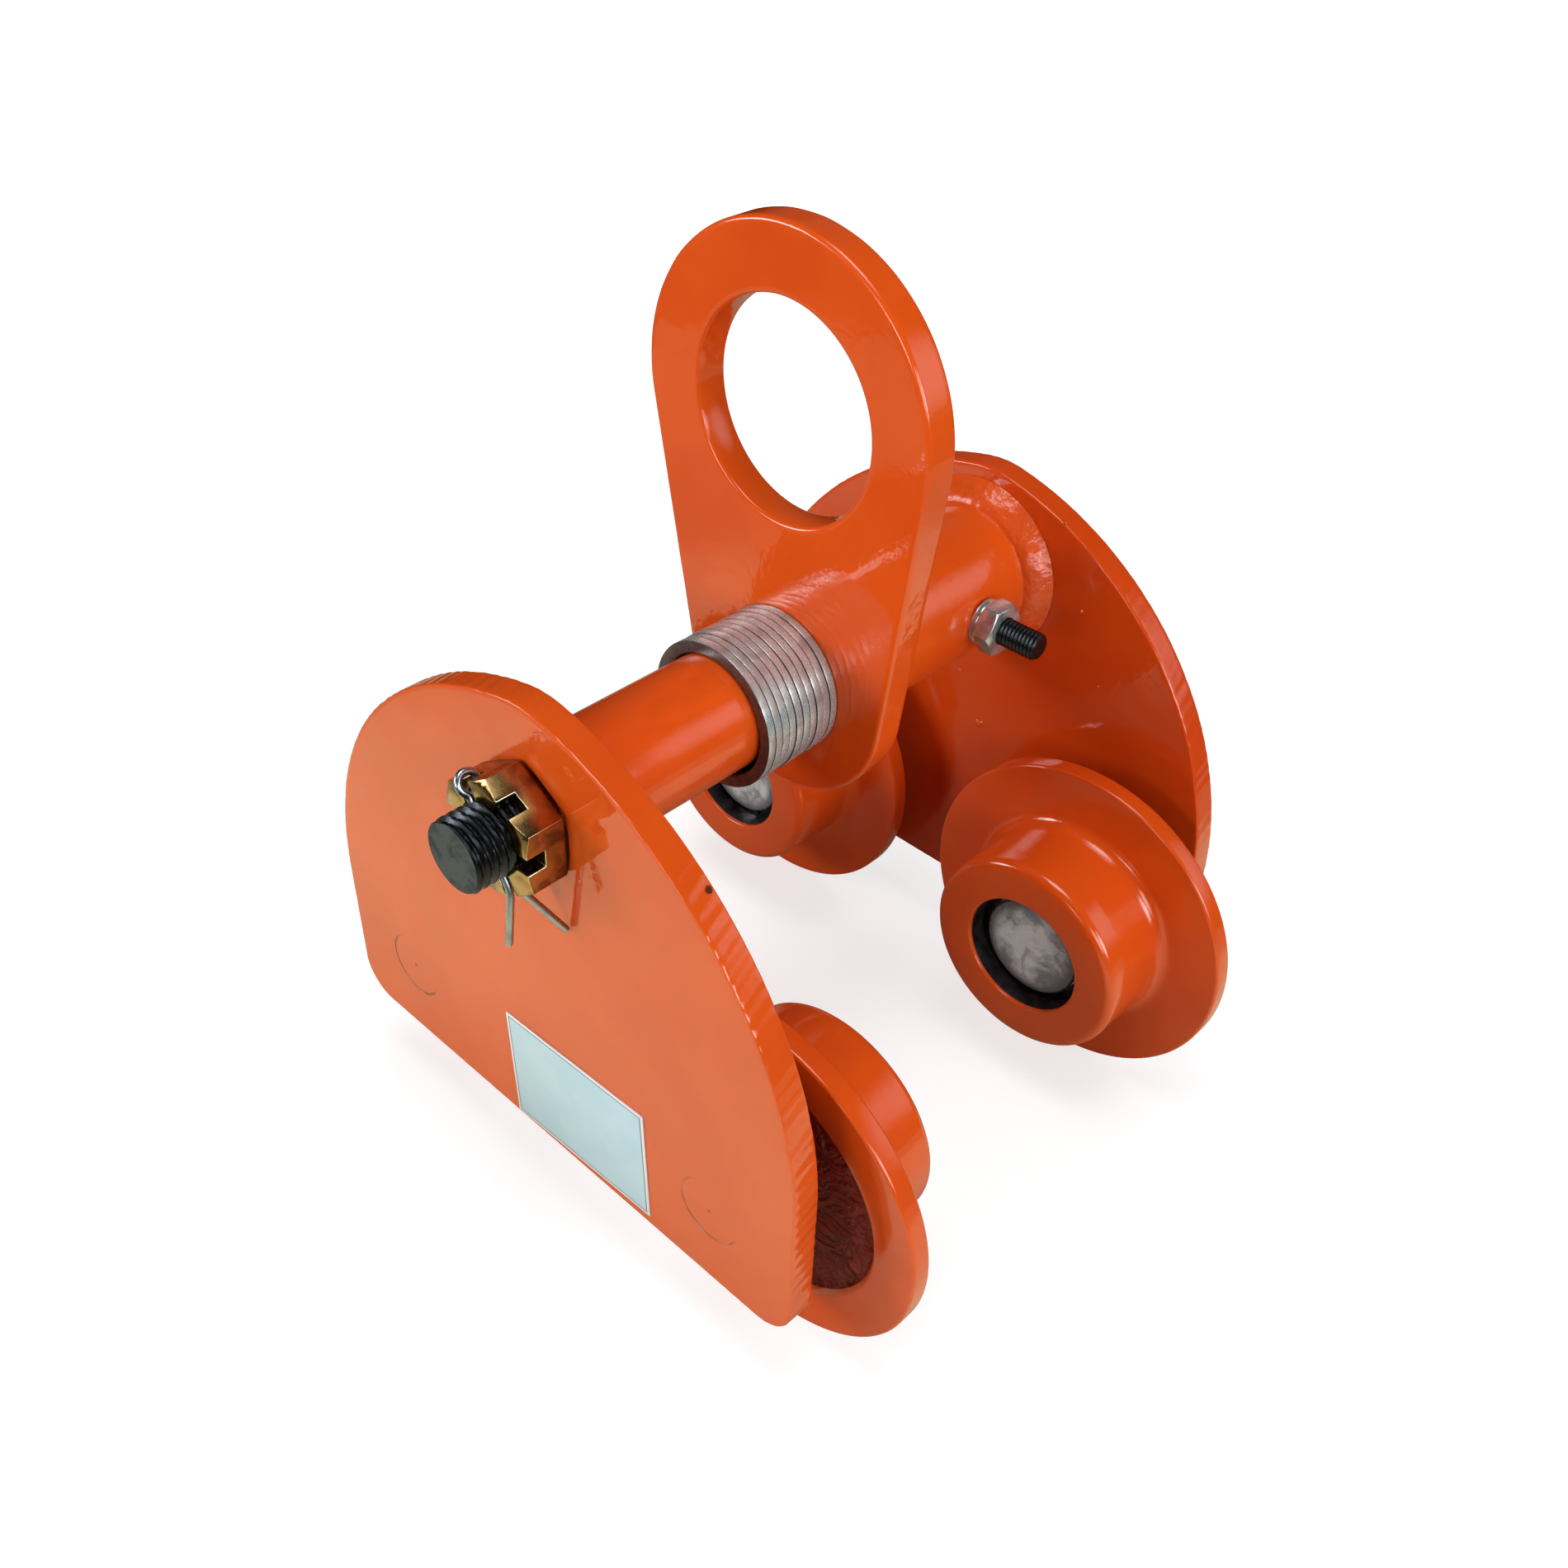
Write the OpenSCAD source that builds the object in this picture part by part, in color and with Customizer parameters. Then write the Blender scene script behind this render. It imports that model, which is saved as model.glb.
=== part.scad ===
// Push-travel beam trolley, standing upside down on its four wheel flanges.
// X runs along the beam, Y across it and Z up. The front is the castle nut's side, at -Y.

/* [Beam opening] */
// Clear width between the front and rear wheel flanges
flange_clear = 160; // [150:1:175]

/* [Side plates] */
// Length of a side plate along the beam
plate_len = 220; // [212:1:240]
// Height of a side plate
plate_h = 184.5; // [180:0.5:196]
// Thickness of a side plate
plate_t = 10; // [8:0.5:14]
// Radius of the two lower corners of a side plate
plate_corner_r = 14; // [8:1:24]
// Distance from a plate's middle to the centre of each arched side
arch_shift = 18; // [10:1:26]
// Rounding of the arch's tip
tip_r = 40; // [20:1:60]
// Height of the wheel axles above the lower edge of the plates
axle_h = 33; // [30:0.5:38]
// Distance between the two axles of one plate
axle_spacing = 150; // [142:1:160]
// Height of the load shaft above the lower edge of the plates
shaft_h = 146; // [138:1:148]

/* [Wheels] */
// Radius of the wheel's tread
tread_r = 39.5; // [37:0.5:42]
// Length of the wheel's tread
tread_len = 31; // [28:0.5:34]
// Radius of the wheel's flange
flange_r = 63; // [60:0.5:67]
// Thickness of the wheel's flange
flange_t = 7.5; // [6:0.5:10]
// Gap between a side plate and the back of its wheels
wheel_gap = 12.5; // [9:0.5:15]
// Radius of the rough cast pocket in the back of the wheel
pocket_r = 47.5; // [40:0.5:54]
// Depth of that pocket
pocket_depth = 3; // [1.5:0.5:5]
// Fillet between the tread and the flange
root_fillet = 5; // [3:0.5:7]
// Rounding of the tread's free edge
tread_round = 3.5; // [2:0.5:6]
// Rounding of the flange's rim
rim_round = 2.2; // [1:0.1:2.8]

/* [Wheel bearings] */
// Radius of the bearing's bore, which is the axle's radius
axle_r = 10; // [9:0.5:11]
// Outer radius of the bearing, which is the wheel's bore
bearing_r = 23.5; // [22.5:0.5:25]
// Width of the bearing
bearing_w = 14; // [12:0.5:16]
// Depth of the bearing's face below the wheel's face
bearing_depth = 10.5; // [9:0.5:12]
// Thickness of each bearing ring at its shoulder
ring_wall = 4.1; // [3.8:0.1:4.4]
// Radius of a bearing ball
ball_r = 3.97; // [3.6:0.01:4.2]
// Number of balls in a bearing
ball_count = 8; // [6:1:9]
// Radius of the axle pin's head
axle_head_r = 18.2; // [16:0.1:18.8]
// Thickness of the axle pin's head
axle_head_t = 3.5; // [2.5:0.5:5]
// Thickness of the step under the head that bears on the inner ring
head_step_t = 0.5; // [0.4:0.1:1]
// Radius of the riveted end of the axle pin in the plate's outer face
rivet_r = 12; // [11.5:0.5:14]
// Thickness of the retaining ring that holds the bearing
circlip_t = 1.75; // [1.25:0.25:2]

/* [Load shaft] */
// Radius of the load shaft
shaft_r = 20; // [18:0.5:22]
// Radius of the shaft's threaded end
thread_r = 12; // [11:0.5:14]
// Length of the threaded end outside the front plate
thread_len = 27; // [25:0.5:32]
// Distance from the shaft's rear end to the rear plate's outer face
shaft_recess = 4; // [1:0.5:8]
// Distance between the cross holes that set the width
setting_step = 20; // [16:1:24]
// Number of cross holes in the shaft
setting_count = 3; // [1:1:3]

/* [Socket tube] */
// Outer radius of the socket tube
tube_r = 26; // [24:0.5:30]
// Length of the socket tube
tube_len = 89.5; // [84:0.5:92]
// Leg of the weld round the foot of the tube
weld_leg = 6; // [4:0.5:8]

/* [Suspension eye] */
// Distance from the load shaft to the centre of the eye's hole
eye_reach = 90; // [84:1:96]
// Radius of the eye's hole
eye_hole_r = 35; // [30:0.5:38]
// Outer radius round the eye's hole
eye_top_r = 56.5; // [52:0.5:60]
// Outer radius round the load shaft
eye_foot_r = 42.5; // [38:0.5:45]
// Thickness of the eye
eye_t = 12; // [10:0.5:14]
// Swing of the eye to the left as it stands, in degrees
eye_lean = 2.5; // [-10:0.5:10]

/* [Spacer washers] */
// Outer radius of a spacer washer
spacer_r = 25.5; // [24:0.5:28]
// Thickness of a spacer washer
spacer_t = 3; // [2:0.25:4]
// Distance that the spacer washers hang below the shaft's axis
spacer_hang = 0.9; // [0:0.1:1]
// Spacer washers in front of the eye
front_spacers = 10; // [4:1:12]
// Spacer washers behind the eye
rear_spacers = 1; // [1:1:2]

/* [Castle nut and cotter pin] */
// Width across the flats of the castle nut
castle_af = 36; // [34:1:40]
// Height of the castle nut
castle_h = 15; // [14:0.5:18]
// Depth of the nut's slots
slot_depth = 6.5; // [5:0.5:7]
// Width of the nut's slots
slot_w = 6; // [5:0.5:7]
// Radius of one leg of the cotter pin
leg_r = 1.2; // [0.9:0.1:1.4]
// Distance that the straight leg reaches from the shaft's axis
leg_reach = 35; // [30:1:40]

/* [Cross bolt] */
// Radius of the cross bolt
bolt_r = 5; // [4:0.5:5]
// Length of the cross bolt under its head
bolt_len = 76; // [74:1:90]
// Distance from the rear plate's inner face to the cross bolt
bolt_setback = 30; // [22:1:34]
// Width across the flats of the bolt's head and nut
bolt_af = 17; // [15:1:19]
// Height of the bolt's head
bolt_head_h = 6.4; // [5:0.1:8]
// Height of the bolt's nut
bolt_nut_h = 7; // [6:0.5:10]
// Thickness of the spring washer under the nut
lock_washer_t = 2.2; // [1.6:0.1:2.6]

/* [Rating plate] */
// Width of the blank rating plate
label_w = 67.5; // [50:0.5:70]
// Height of the blank rating plate
label_h = 47.5; // [30:0.5:50]
// Thickness of the blank rating plate
label_t = 0.5; // [0.4:0.1:1]
// Distance from the plates' centre to the rating plate's centre
label_shift = 13; // [-10:0.5:20]
// Height of the rating plate's centre above the lower edge of the side plate
label_rise = 27; // [26:0.5:40]
// Turn of the rating plate out of level, in degrees
label_turn = 2.5; // [-3:0.5:3]

/* [Fits] */
// Radial play of the eye on the load shaft
eye_play = 0.3; // [0.2:0.05:0.5]
// Radial play of the spacer washers on the load shaft
spacer_play = 1.2; // [1.1:0.1:1.5]
// Axial gap beside each spacer washer
spacer_gap = 0.15; // [0.1:0.05:0.3]
// Radial play of the shaft in the socket tube and of its threaded end in the plate
slide_play = 0.3; // [0.2:0.05:0.5]
// Radial play of the cross bolt and of the cotter pin in their holes
hole_play = 0.4; // [0.2:0.05:0.5]
// Gap between pieces that are pressed or screwed together
seat_gap = 0.02; // [0.01:0.01:0.05]
// Gap between a ball and its raceways and cage
ball_gap = 0.15; // [0.1:0.01:0.2]

/* [Hidden] */
$fn = 96;
FRONT_NODES = ["front_side_plate", "castle_nut", "cotter_pin", "rating_plate"];
REAR_NODES = ["rear_side_plate", "socket_tube", "cross_bolt", "cross_bolt_nut", "spring_washer"];
SHAFT_NODES = ["load_shaft", "front_spacer_washers", "rear_spacer_washers", "suspension_eye"];
WHEEL_PARTS = ["wheel", "axle_pin", "axle_sleeve", "bearing_outer_ring", "bearing_inner_ring",
               "bearing_balls", "bearing_cage", "bearing_shields", "retaining_ring"];
// Each corner has a name, its side along X and its side along Y
CORNERS = [["front_left", -1, -1], ["front_right", 1, -1], ["rear_left", -1, 1], ["rear_right", 1, 1]];

// Places across the beam, with the middle of the whole trolley at Y = 0
plate_span = flange_clear + 2*(flange_t + wheel_gap);
front_out = -(plate_span + 2*plate_t + thread_len)/2 + thread_len;
front_in = front_out + plate_t;
rear_in = front_in + plate_span;
rear_out = rear_in + plate_t;
spacer_pitch = spacer_t + spacer_gap;
tube_mouth = rear_in - tube_len;
eye_back = tube_mouth - spacer_gap - rear_spacers*spacer_pitch;
eye_front = eye_back - eye_t;
bolt_y = rear_in - bolt_setback;

// Heights above the floor that the wheel flanges stand on
wheel_z = flange_r;
plate_z = wheel_z - axle_h;
shaft_z = plate_z + shaft_h;
half_len = plate_len/2;
arch_r = half_len + arch_shift;
tip_h = plate_h - tip_r;
spring_h = tip_h - sqrt(pow(arch_r - tip_r, 2) - arch_shift*arch_shift);

// Distances from a plate's inner face towards the middle, at the wheels
wheel_back = wheel_gap;
tread_start = wheel_back + flange_t;
wheel_face = tread_start + tread_len;
bearing_front = wheel_face - bearing_depth;
bearing_back = bearing_front - bearing_w;

// Sizes inside the bearing
inner_shoulder_r = axle_r + ring_wall;
outer_shoulder_r = bearing_r - ring_wall;
pitch_r = (axle_r + bearing_r)/2;
race_r = ball_r + ball_gap;
cage_wall = ring_wall - 1.1;
cage_w = 2*ball_r + 2;
shield_t = 0.5;
groove_depth = 0.9;
sleeve_r = inner_shoulder_r - 0.3;
countersink = 3;
dish_r = axle_head_r - 3;
dish_depth = 0.8;

// Sizes of the retaining ring
retainer_w = 3.4;
retainer_lug_r = 2.2;
retainer_hole_r = 1;
retainer_opening = 16;

// Sizes and places of the cotter pin
cotter_turn = 120;
cotter_y = castle_h - slot_depth/4;
loop_r = 3.3;
bend_round = 3;
neck_round = 0.9;

// Straight pieces in each round corner of a section
steps = 6;

// Points of a round corner from angle a to angle b
function arc(x, y, r, a, b) =
    [for (i = [0:steps]) let (t = a + (b - a)*i/steps) [x + r*cos(t), y + r*sin(t)]];

// Turns a shape drawn along +Z so that it points along +Y
module along_y() { rotate([-90, 0, 0]) children(); }

// Lays an outline drawn in X and Z flat against Y, from y on, thick along +Y
module slab(y, t) { translate([0, y + t, 0]) rotate([90, 0, 0]) linear_extrude(t) children(); }

// Puts a shape drawn from a plate's inner face along +Z on the axle of one corner
module at_corner(corner) {
    x = corner[1]*axle_spacing/2;
    y = corner[2] < 0 ? front_in : rear_in;
    translate([x, y, wheel_z]) rotate([corner[2] < 0 ? -90 : 90, 0, 0]) children();
}

module ring(r_in, r_out, h) {
    difference() {
        cylinder(r = r_out, h = h);
        translate([0, 0, -1]) cylinder(r = r_in, h = h + 2);
    }
}

// A hexagon prism with its outer edges turned off at both ends
module hex_blank(af, h, bevel) {
    r = af/2/cos(30);
    intersection() {
        rotate(30) cylinder(r = r, h = h, $fn = 6);
        union() {
            cylinder(r1 = r - 1.7*bevel, r2 = r, h = bevel);
            translate([0, 0, bevel]) cylinder(r = r, h = h - 2*bevel);
            translate([0, 0, h - bevel]) cylinder(r1 = r, r2 = r - 1.7*bevel, h = bevel);
        }
    }
}

// Two arcs that start upright at the plate's sides and meet in a rounded tip
module arch() {
    touch_h = tip_h + tip_r*(tip_h - spring_h)/(arch_r - tip_r);
    intersection() {
        translate([-arch_shift, spring_h]) circle(r = arch_r, $fn = 180);
        translate([arch_shift, spring_h]) circle(r = arch_r, $fn = 180);
        translate([-half_len, spring_h]) square([plate_len, touch_h - spring_h]);
    }
    translate([0, tip_h]) circle(r = tip_r, $fn = 180);
}

module plate_outline() {
    arch();
    translate([-half_len, plate_corner_r]) square([plate_len, spring_h - plate_corner_r]);
    translate([plate_corner_r - half_len, 0]) square([plate_len - 2*plate_corner_r, plate_corner_r]);
    for (side = [-1, 1])
        translate([side*(half_len - plate_corner_r), plate_corner_r]) circle(r = plate_corner_r);
}

// A side plate from y on, with its outer face at the y of outside
module side_plate(y, outside, hole_r) {
    inward = outside == y ? 1 : -1;
    difference() {
        translate([0, 0, plate_z]) slab(y, plate_t) plate_outline();
        translate([0, y - 1, shaft_z]) along_y() cylinder(r = hole_r, h = plate_t + 2);
        for (side = [-1, 1]) translate([side*axle_spacing/2, outside, wheel_z]) {
            translate([0, -plate_t - 1, 0]) along_y() cylinder(r = axle_r + seat_gap, h = 2*plate_t + 2);
            rotate([inward > 0 ? -90 : 90, 0, 0]) translate([0, 0, -1])
                cylinder(r1 = rivet_r + seat_gap + (rivet_r - axle_r)/countersink,
                         r2 = axle_r + seat_gap, h = countersink + 1);
        }
    }
}

module front_side_plate() {
    color([0.86, 0.32, 0.08]) side_plate(front_in - plate_t, front_out, thread_r + slide_play);
}

module rear_side_plate() {
    color([0.86, 0.32, 0.08]) side_plate(rear_in, rear_out, shaft_r + slide_play);
}

// The tube that is welded to the rear plate and takes the shaft
module socket_tube() {
    color([0.86, 0.30, 0.07]) difference() {
        translate([0, tube_mouth, shaft_z]) along_y() {
            cylinder(r = tube_r, h = tube_len);
            translate([0, 0, tube_len - weld_leg])
                cylinder(r1 = tube_r, r2 = tube_r + weld_leg, h = weld_leg);
        }
        translate([0, tube_mouth - 1, shaft_z]) along_y()
            cylinder(r = shaft_r + slide_play, h = tube_len + 2);
        translate([-tube_r - 1, bolt_y, shaft_z]) rotate([0, 90, 0])
            cylinder(r = bolt_r + hole_play, h = 2*tube_r + 2);
    }
}

// The stepped shaft: a thick body behind the front plate and a threaded end through it
module load_shaft() {
    body_len = rear_out - shaft_recess - front_in;
    bevel = 1.2;
    color([0.86, 0.30, 0.07]) difference() {
        translate([0, 0, shaft_z]) {
            translate([0, front_in, 0]) along_y() {
                cylinder(r = shaft_r, h = body_len - bevel);
                translate([0, 0, body_len - bevel]) cylinder(r1 = shaft_r, r2 = shaft_r - bevel, h = bevel);
            }
            translate([0, front_out - thread_len, 0]) along_y() {
                cylinder(r1 = thread_r - bevel, r2 = thread_r, h = bevel);
                translate([0, 0, bevel]) cylinder(r = thread_r, h = thread_len + plate_t + 1 - bevel);
            }
        }
        for (i = [0:setting_count - 1])
            translate([-shaft_r - 1, bolt_y - i*setting_step, shaft_z]) rotate([0, 90, 0])
                cylinder(r = bolt_r + hole_play, h = 2*shaft_r + 2);
        translate([0, front_out - cotter_y, shaft_z]) rotate([0, 90 - cotter_turn, 0])
            cylinder(r = 2*leg_r + hole_play, h = 2*thread_r + 2, center = true);
    }
}

module castle_nut() {
    r = thread_r + seat_gap;
    color([0.72, 0.52, 0.20]) translate([0, front_out, shaft_z]) rotate([90, 0, 0]) difference() {
        hex_blank(castle_af, castle_h, 1.4);
        translate([0, 0, -1]) cylinder(r = r, h = castle_h + 2);
        for (turn = [0:60:120]) rotate(turn)
            translate([-castle_af, -slot_w/2, castle_h - slot_depth])
                cube([2*castle_af, slot_w, slot_depth + 1]);
    }
}

// A point list that rounds corner i of a path, starting d before it and ending d after it
function corner_at(path, i, d) = let (
    c = path[i],
    before = c + d*unit(path[i - 1] - c),
    after = c + d*unit(path[i + 1] - c)
) [for (t = [0:0.25:1]) (1 - t)*(1 - t)*before + 2*t*(1 - t)*c + t*t*after];

function unit(v) = v/norm(v);

// The circle of points round point i of a path
function wire_ring(path, i, r, sides) = let (
    along = unit(path[min(i + 1, len(path) - 1)] - path[max(i - 1, 0)]),
    across = unit(cross([0, 0, 1], along)),
    up = cross(along, across)
) [for (k = [0:sides - 1]) path[i] + r*cos(360*k/sides)*across + r*sin(360*k/sides)*up];

// A round wire of radius r along a path
module wire(path, r, sides = 12) {
    last = (len(path) - 1)*sides;
    points = [for (i = [0:len(path) - 1]) each wire_ring(path, i, r, sides)];
    walls = [for (i = [0:len(path) - 2], k = [0:sides - 1])
             let (n = (k + 1)%sides, a = i*sides, b = a + sides) [a + k, b + k, b + n, a + n]];
    ends = [[for (k = [0:sides - 1]) k], [for (k = [sides - 1:-1:0]) last + k]];
    polyhedron(points, concat(walls, ends));
}

// A split pin: one wire folded into a loop and two legs, one left straight and one bent to the plate.
// It is drawn with its legs along +X and the front plate towards +Y.
module cotter_pin() {
    gap = 1.06*leg_r;
    loop_x = -thread_r - loop_r - leg_r - 0.5;
    ear = loop_r/sqrt(2);
    neck = loop_x + 2*ear - gap;
    bend = castle_af/2 - 1;
    straight = [[leg_reach - 1.5, -4, -9], [bend, -gap, 0], [neck, -gap, 0], [loop_x + ear, -ear, 0]];
    bent = [[loop_x + ear, ear, 0], [neck, gap, 0], [bend, gap, 0],
            [leg_reach + 2, cotter_y - leg_r - 0.1, -3]];
    loop = [for (a = [315:-15:45]) [loop_x + loop_r*cos(a), loop_r*sin(a), 0]];
    color([0.62, 0.63, 0.62])
    translate([0, front_out - cotter_y, shaft_z]) rotate([0, 180 - cotter_turn, 0])
        wire(concat([straight[0]], corner_at(straight, 1, bend_round), corner_at(straight, 2, neck_round),
                    loop, corner_at(bent, 1, neck_round), corner_at(bent, 2, bend_round), [bent[3]]), leg_r);
}

// The thin plate on the front plate's outer face, left blank
module rating_plate() {
    color([0.80, 0.87, 0.90]) translate([label_shift, front_out - label_t, plate_z + label_rise])
        rotate([0, -label_turn, 0]) translate([-label_w/2, 0, -label_h/2]) cube([label_w, label_t, label_h]);
}

module cross_bolt() {
    color([0.09, 0.09, 0.10]) translate([-tube_r, bolt_y, shaft_z]) rotate([0, 90, 0]) {
        translate([0, 0, -bolt_head_h]) hex_blank(bolt_af, bolt_head_h, 0.9);
        translate([0, 0, -1]) cylinder(r = bolt_r, h = bolt_len, $fn = 48);
        translate([0, 0, bolt_len - 1]) cylinder(r1 = bolt_r, r2 = bolt_r - 1, h = 1, $fn = 48);
    }
}

module cross_bolt_nut() {
    at = tube_r + lock_washer_t;
    color([0.75, 0.74, 0.70]) translate([at, bolt_y, shaft_z]) rotate([0, 90, 0]) difference() {
        hex_blank(bolt_af, bolt_nut_h, 0.9);
        translate([0, 0, -1]) cylinder(r = bolt_r + seat_gap, h = bolt_nut_h + 2, $fn = 48);
    }
}

// A split washer: a flat ring with one slanted cut
module spring_washer() {
    color([0.70, 0.69, 0.65]) translate([tube_r, bolt_y, shaft_z]) rotate([0, 90, 0]) difference() {
        ring(bolt_r + hole_play/2, bolt_af/2, lock_washer_t);
        translate([bolt_r - 1, 0, lock_washer_t/2]) rotate([30, 0, 0])
            translate([0, -0.4, -lock_washer_t]) cube([bolt_af, 0.8, 2*lock_washer_t]);
    }
}

// Spacer washers side by side along +Y from y on
module spacer_stack(y, count) {
    color([0.72, 0.72, 0.70]) for (i = [0:count - 1])
        translate([0, y + i*spacer_pitch, shaft_z - spacer_hang]) along_y()
            ring(shaft_r + spacer_play, spacer_r, spacer_t);
}

module front_spacer_washers() { spacer_stack(eye_front - front_spacers*spacer_pitch, front_spacers); }

module rear_spacer_washers() { spacer_stack(eye_back + spacer_gap, rear_spacers); }

// Two circles joined by their outer tangents
module eye_outline() {
    lean = asin((eye_top_r - eye_foot_r)/eye_reach);
    dir = [cos(lean), -sin(lean)];
    circle(r = eye_foot_r, $fn = 144);
    translate([0, eye_reach]) circle(r = eye_top_r, $fn = 144);
    polygon([eye_foot_r*dir, [0, eye_reach] + eye_top_r*dir,
             [-eye_top_r*dir[0], eye_reach + eye_top_r*dir[1]], [-eye_foot_r*dir[0], eye_foot_r*dir[1]]]);
}

module suspension_eye() {
    color([0.88, 0.31, 0.06]) translate([0, eye_front, shaft_z]) rotate([0, -eye_lean, 0]) difference() {
        slab(0, eye_t) eye_outline();
        translate([0, -1, 0]) along_y() cylinder(r = shaft_r + eye_play, h = eye_t + 2);
        translate([0, -1, eye_reach]) along_y() cylinder(r = eye_hole_r, h = eye_t + 2);
    }
}

// Half section of the wheel: radius, then distance from the plate's inner face
module wheel_section() {
    rim = flange_r - rim_round;
    root = tread_r + root_fillet;
    polygon(concat(
        [[outer_shoulder_r - 1, wheel_back + pocket_depth], [pocket_r, wheel_back + pocket_depth],
         [pocket_r, wheel_back]],
        arc(rim, wheel_back + rim_round, rim_round, -90, 0),
        arc(rim, tread_start - rim_round, rim_round, 0, 90),
        arc(root, tread_start + root_fillet, root_fillet, 270, 180),
        arc(tread_r - tread_round, wheel_face - tread_round, tread_round, 0, 90),
        [[bearing_r, wheel_face], [bearing_r, bearing_front + circlip_t + ball_gap],
         [bearing_r + groove_depth, bearing_front + circlip_t + ball_gap],
         [bearing_r + groove_depth, bearing_front],
         [bearing_r, bearing_front], [bearing_r, bearing_back], [outer_shoulder_r - 1, bearing_back]]));
}

module wheel() { color([0.86, 0.30, 0.06]) rotate_extrude($fn = 144) wheel_section(); }

// Headed at the wheel's face and riveted flush in the plate's outer face
module axle_pin() {
    color([0.72, 0.73, 0.72]) difference() {
        union() {
            translate([0, 0, -plate_t]) cylinder(r = axle_r, h = plate_t + bearing_front + 1);
            translate([0, 0, -plate_t]) cylinder(r1 = rivet_r, r2 = axle_r, h = countersink);
            translate([0, 0, bearing_front + seat_gap]) {
                cylinder(r = inner_shoulder_r - 0.6, h = head_step_t + 1);
                translate([0, 0, head_step_t]) cylinder(r = axle_head_r, h = axle_head_t - 1);
                translate([0, 0, head_step_t + axle_head_t - 1])
                    cylinder(r1 = axle_head_r, r2 = axle_head_r - 1, h = 1);
            }
        }
        translate([0, 0, bearing_front + seat_gap + head_step_t + axle_head_t - dish_depth])
            cylinder(r1 = dish_r/3, r2 = dish_r, h = dish_depth + 0.01);
    }
}

// Holds the bearing's inner ring off the side plate
module axle_sleeve() {
    color([0.35, 0.12, 0.08]) ring(axle_r + 5*seat_gap, sleeve_r, bearing_back - seat_gap);
}

module bearing_race() {
    translate([0, 0, bearing_back + bearing_w/2])
        rotate_extrude() translate([pitch_r, 0]) circle(r = race_r, $fn = 48);
}

module bearing_outer_ring() {
    color([0.55, 0.56, 0.57]) difference() {
        translate([0, 0, bearing_back + seat_gap])
            ring(outer_shoulder_r, bearing_r - seat_gap, bearing_w - 2*seat_gap);
        bearing_race();
    }
}

module bearing_inner_ring() {
    color([0.62, 0.63, 0.64]) difference() {
        translate([0, 0, bearing_back]) ring(axle_r + seat_gap, inner_shoulder_r, bearing_w);
        bearing_race();
    }
}

module bearing_balls() {
    color([0.80, 0.81, 0.82]) for (i = [0:ball_count - 1])
        rotate(i*360/ball_count) translate([pitch_r, 0, bearing_back + bearing_w/2])
            sphere(r = ball_r, $fn = 48);
}

module bearing_cage() {
    color([0.60, 0.58, 0.52]) difference() {
        translate([0, 0, bearing_back + (bearing_w - cage_w)/2])
            ring(pitch_r - cage_wall/2, pitch_r + cage_wall/2, cage_w);
        for (i = [0:ball_count - 1])
            rotate(i*360/ball_count) translate([pitch_r - cage_wall, 0, bearing_back + bearing_w/2])
                rotate([0, 90, 0]) cylinder(r = ball_r + ball_gap, h = 2*cage_wall, $fn = 48);
    }
}

module bearing_shields() {
    color([0.66, 0.67, 0.68]) for (z = [bearing_back + 0.5, bearing_front - 0.5 - shield_t])
        translate([0, 0, z]) ring(inner_shoulder_r + 0.4, outer_shoulder_r - seat_gap, shield_t);
}

// Puts a shape on both lugs of the retaining ring, clear of the axle pin's head
module at_lugs() {
    lug_at = bearing_r - retainer_lug_r;
    for (side = [-1, 1]) rotate(side*(retainer_opening + 7)) translate([0, -lug_at]) children();
}

// An inside retaining ring, open at the bottom, with a holed lug at each end
module retaining_ring() {
    r_in = bearing_r - retainer_w;
    r_out = bearing_r + groove_depth - 0.1;
    cut = 2*r_out*[sin(retainer_opening), -cos(retainer_opening)];
    color([0.06, 0.06, 0.07]) translate([0, 0, bearing_front + ball_gap/2])
        linear_extrude(circlip_t) difference() {
            union() {
                difference() {
                    circle(r = r_out);
                    circle(r = r_in);
                    polygon([[0, 0], cut, [-cut[0], cut[1]]]);
                }
                at_lugs() circle(r = retainer_lug_r, $fn = 32);
            }
            at_lugs() circle(r = retainer_hole_r, $fn = 24);
        }
}

front_side_plate();
castle_nut();
cotter_pin();
rating_plate();
rear_side_plate();
socket_tube();
cross_bolt();
cross_bolt_nut();
spring_washer();
load_shaft();
front_spacer_washers();
rear_spacer_washers();
suspension_eye();
for (corner = CORNERS) {
    at_corner(corner) wheel();
    at_corner(corner) axle_pin();
    at_corner(corner) axle_sleeve();
    at_corner(corner) bearing_outer_ring();
    at_corner(corner) bearing_inner_ring();
    at_corner(corner) bearing_balls();
    at_corner(corner) bearing_cage();
    at_corner(corner) bearing_shields();
    at_corner(corner) retaining_ring();
}
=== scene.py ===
import bmesh
import bpy
import math
import random
from mathutils import Matrix, Vector, noise

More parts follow.
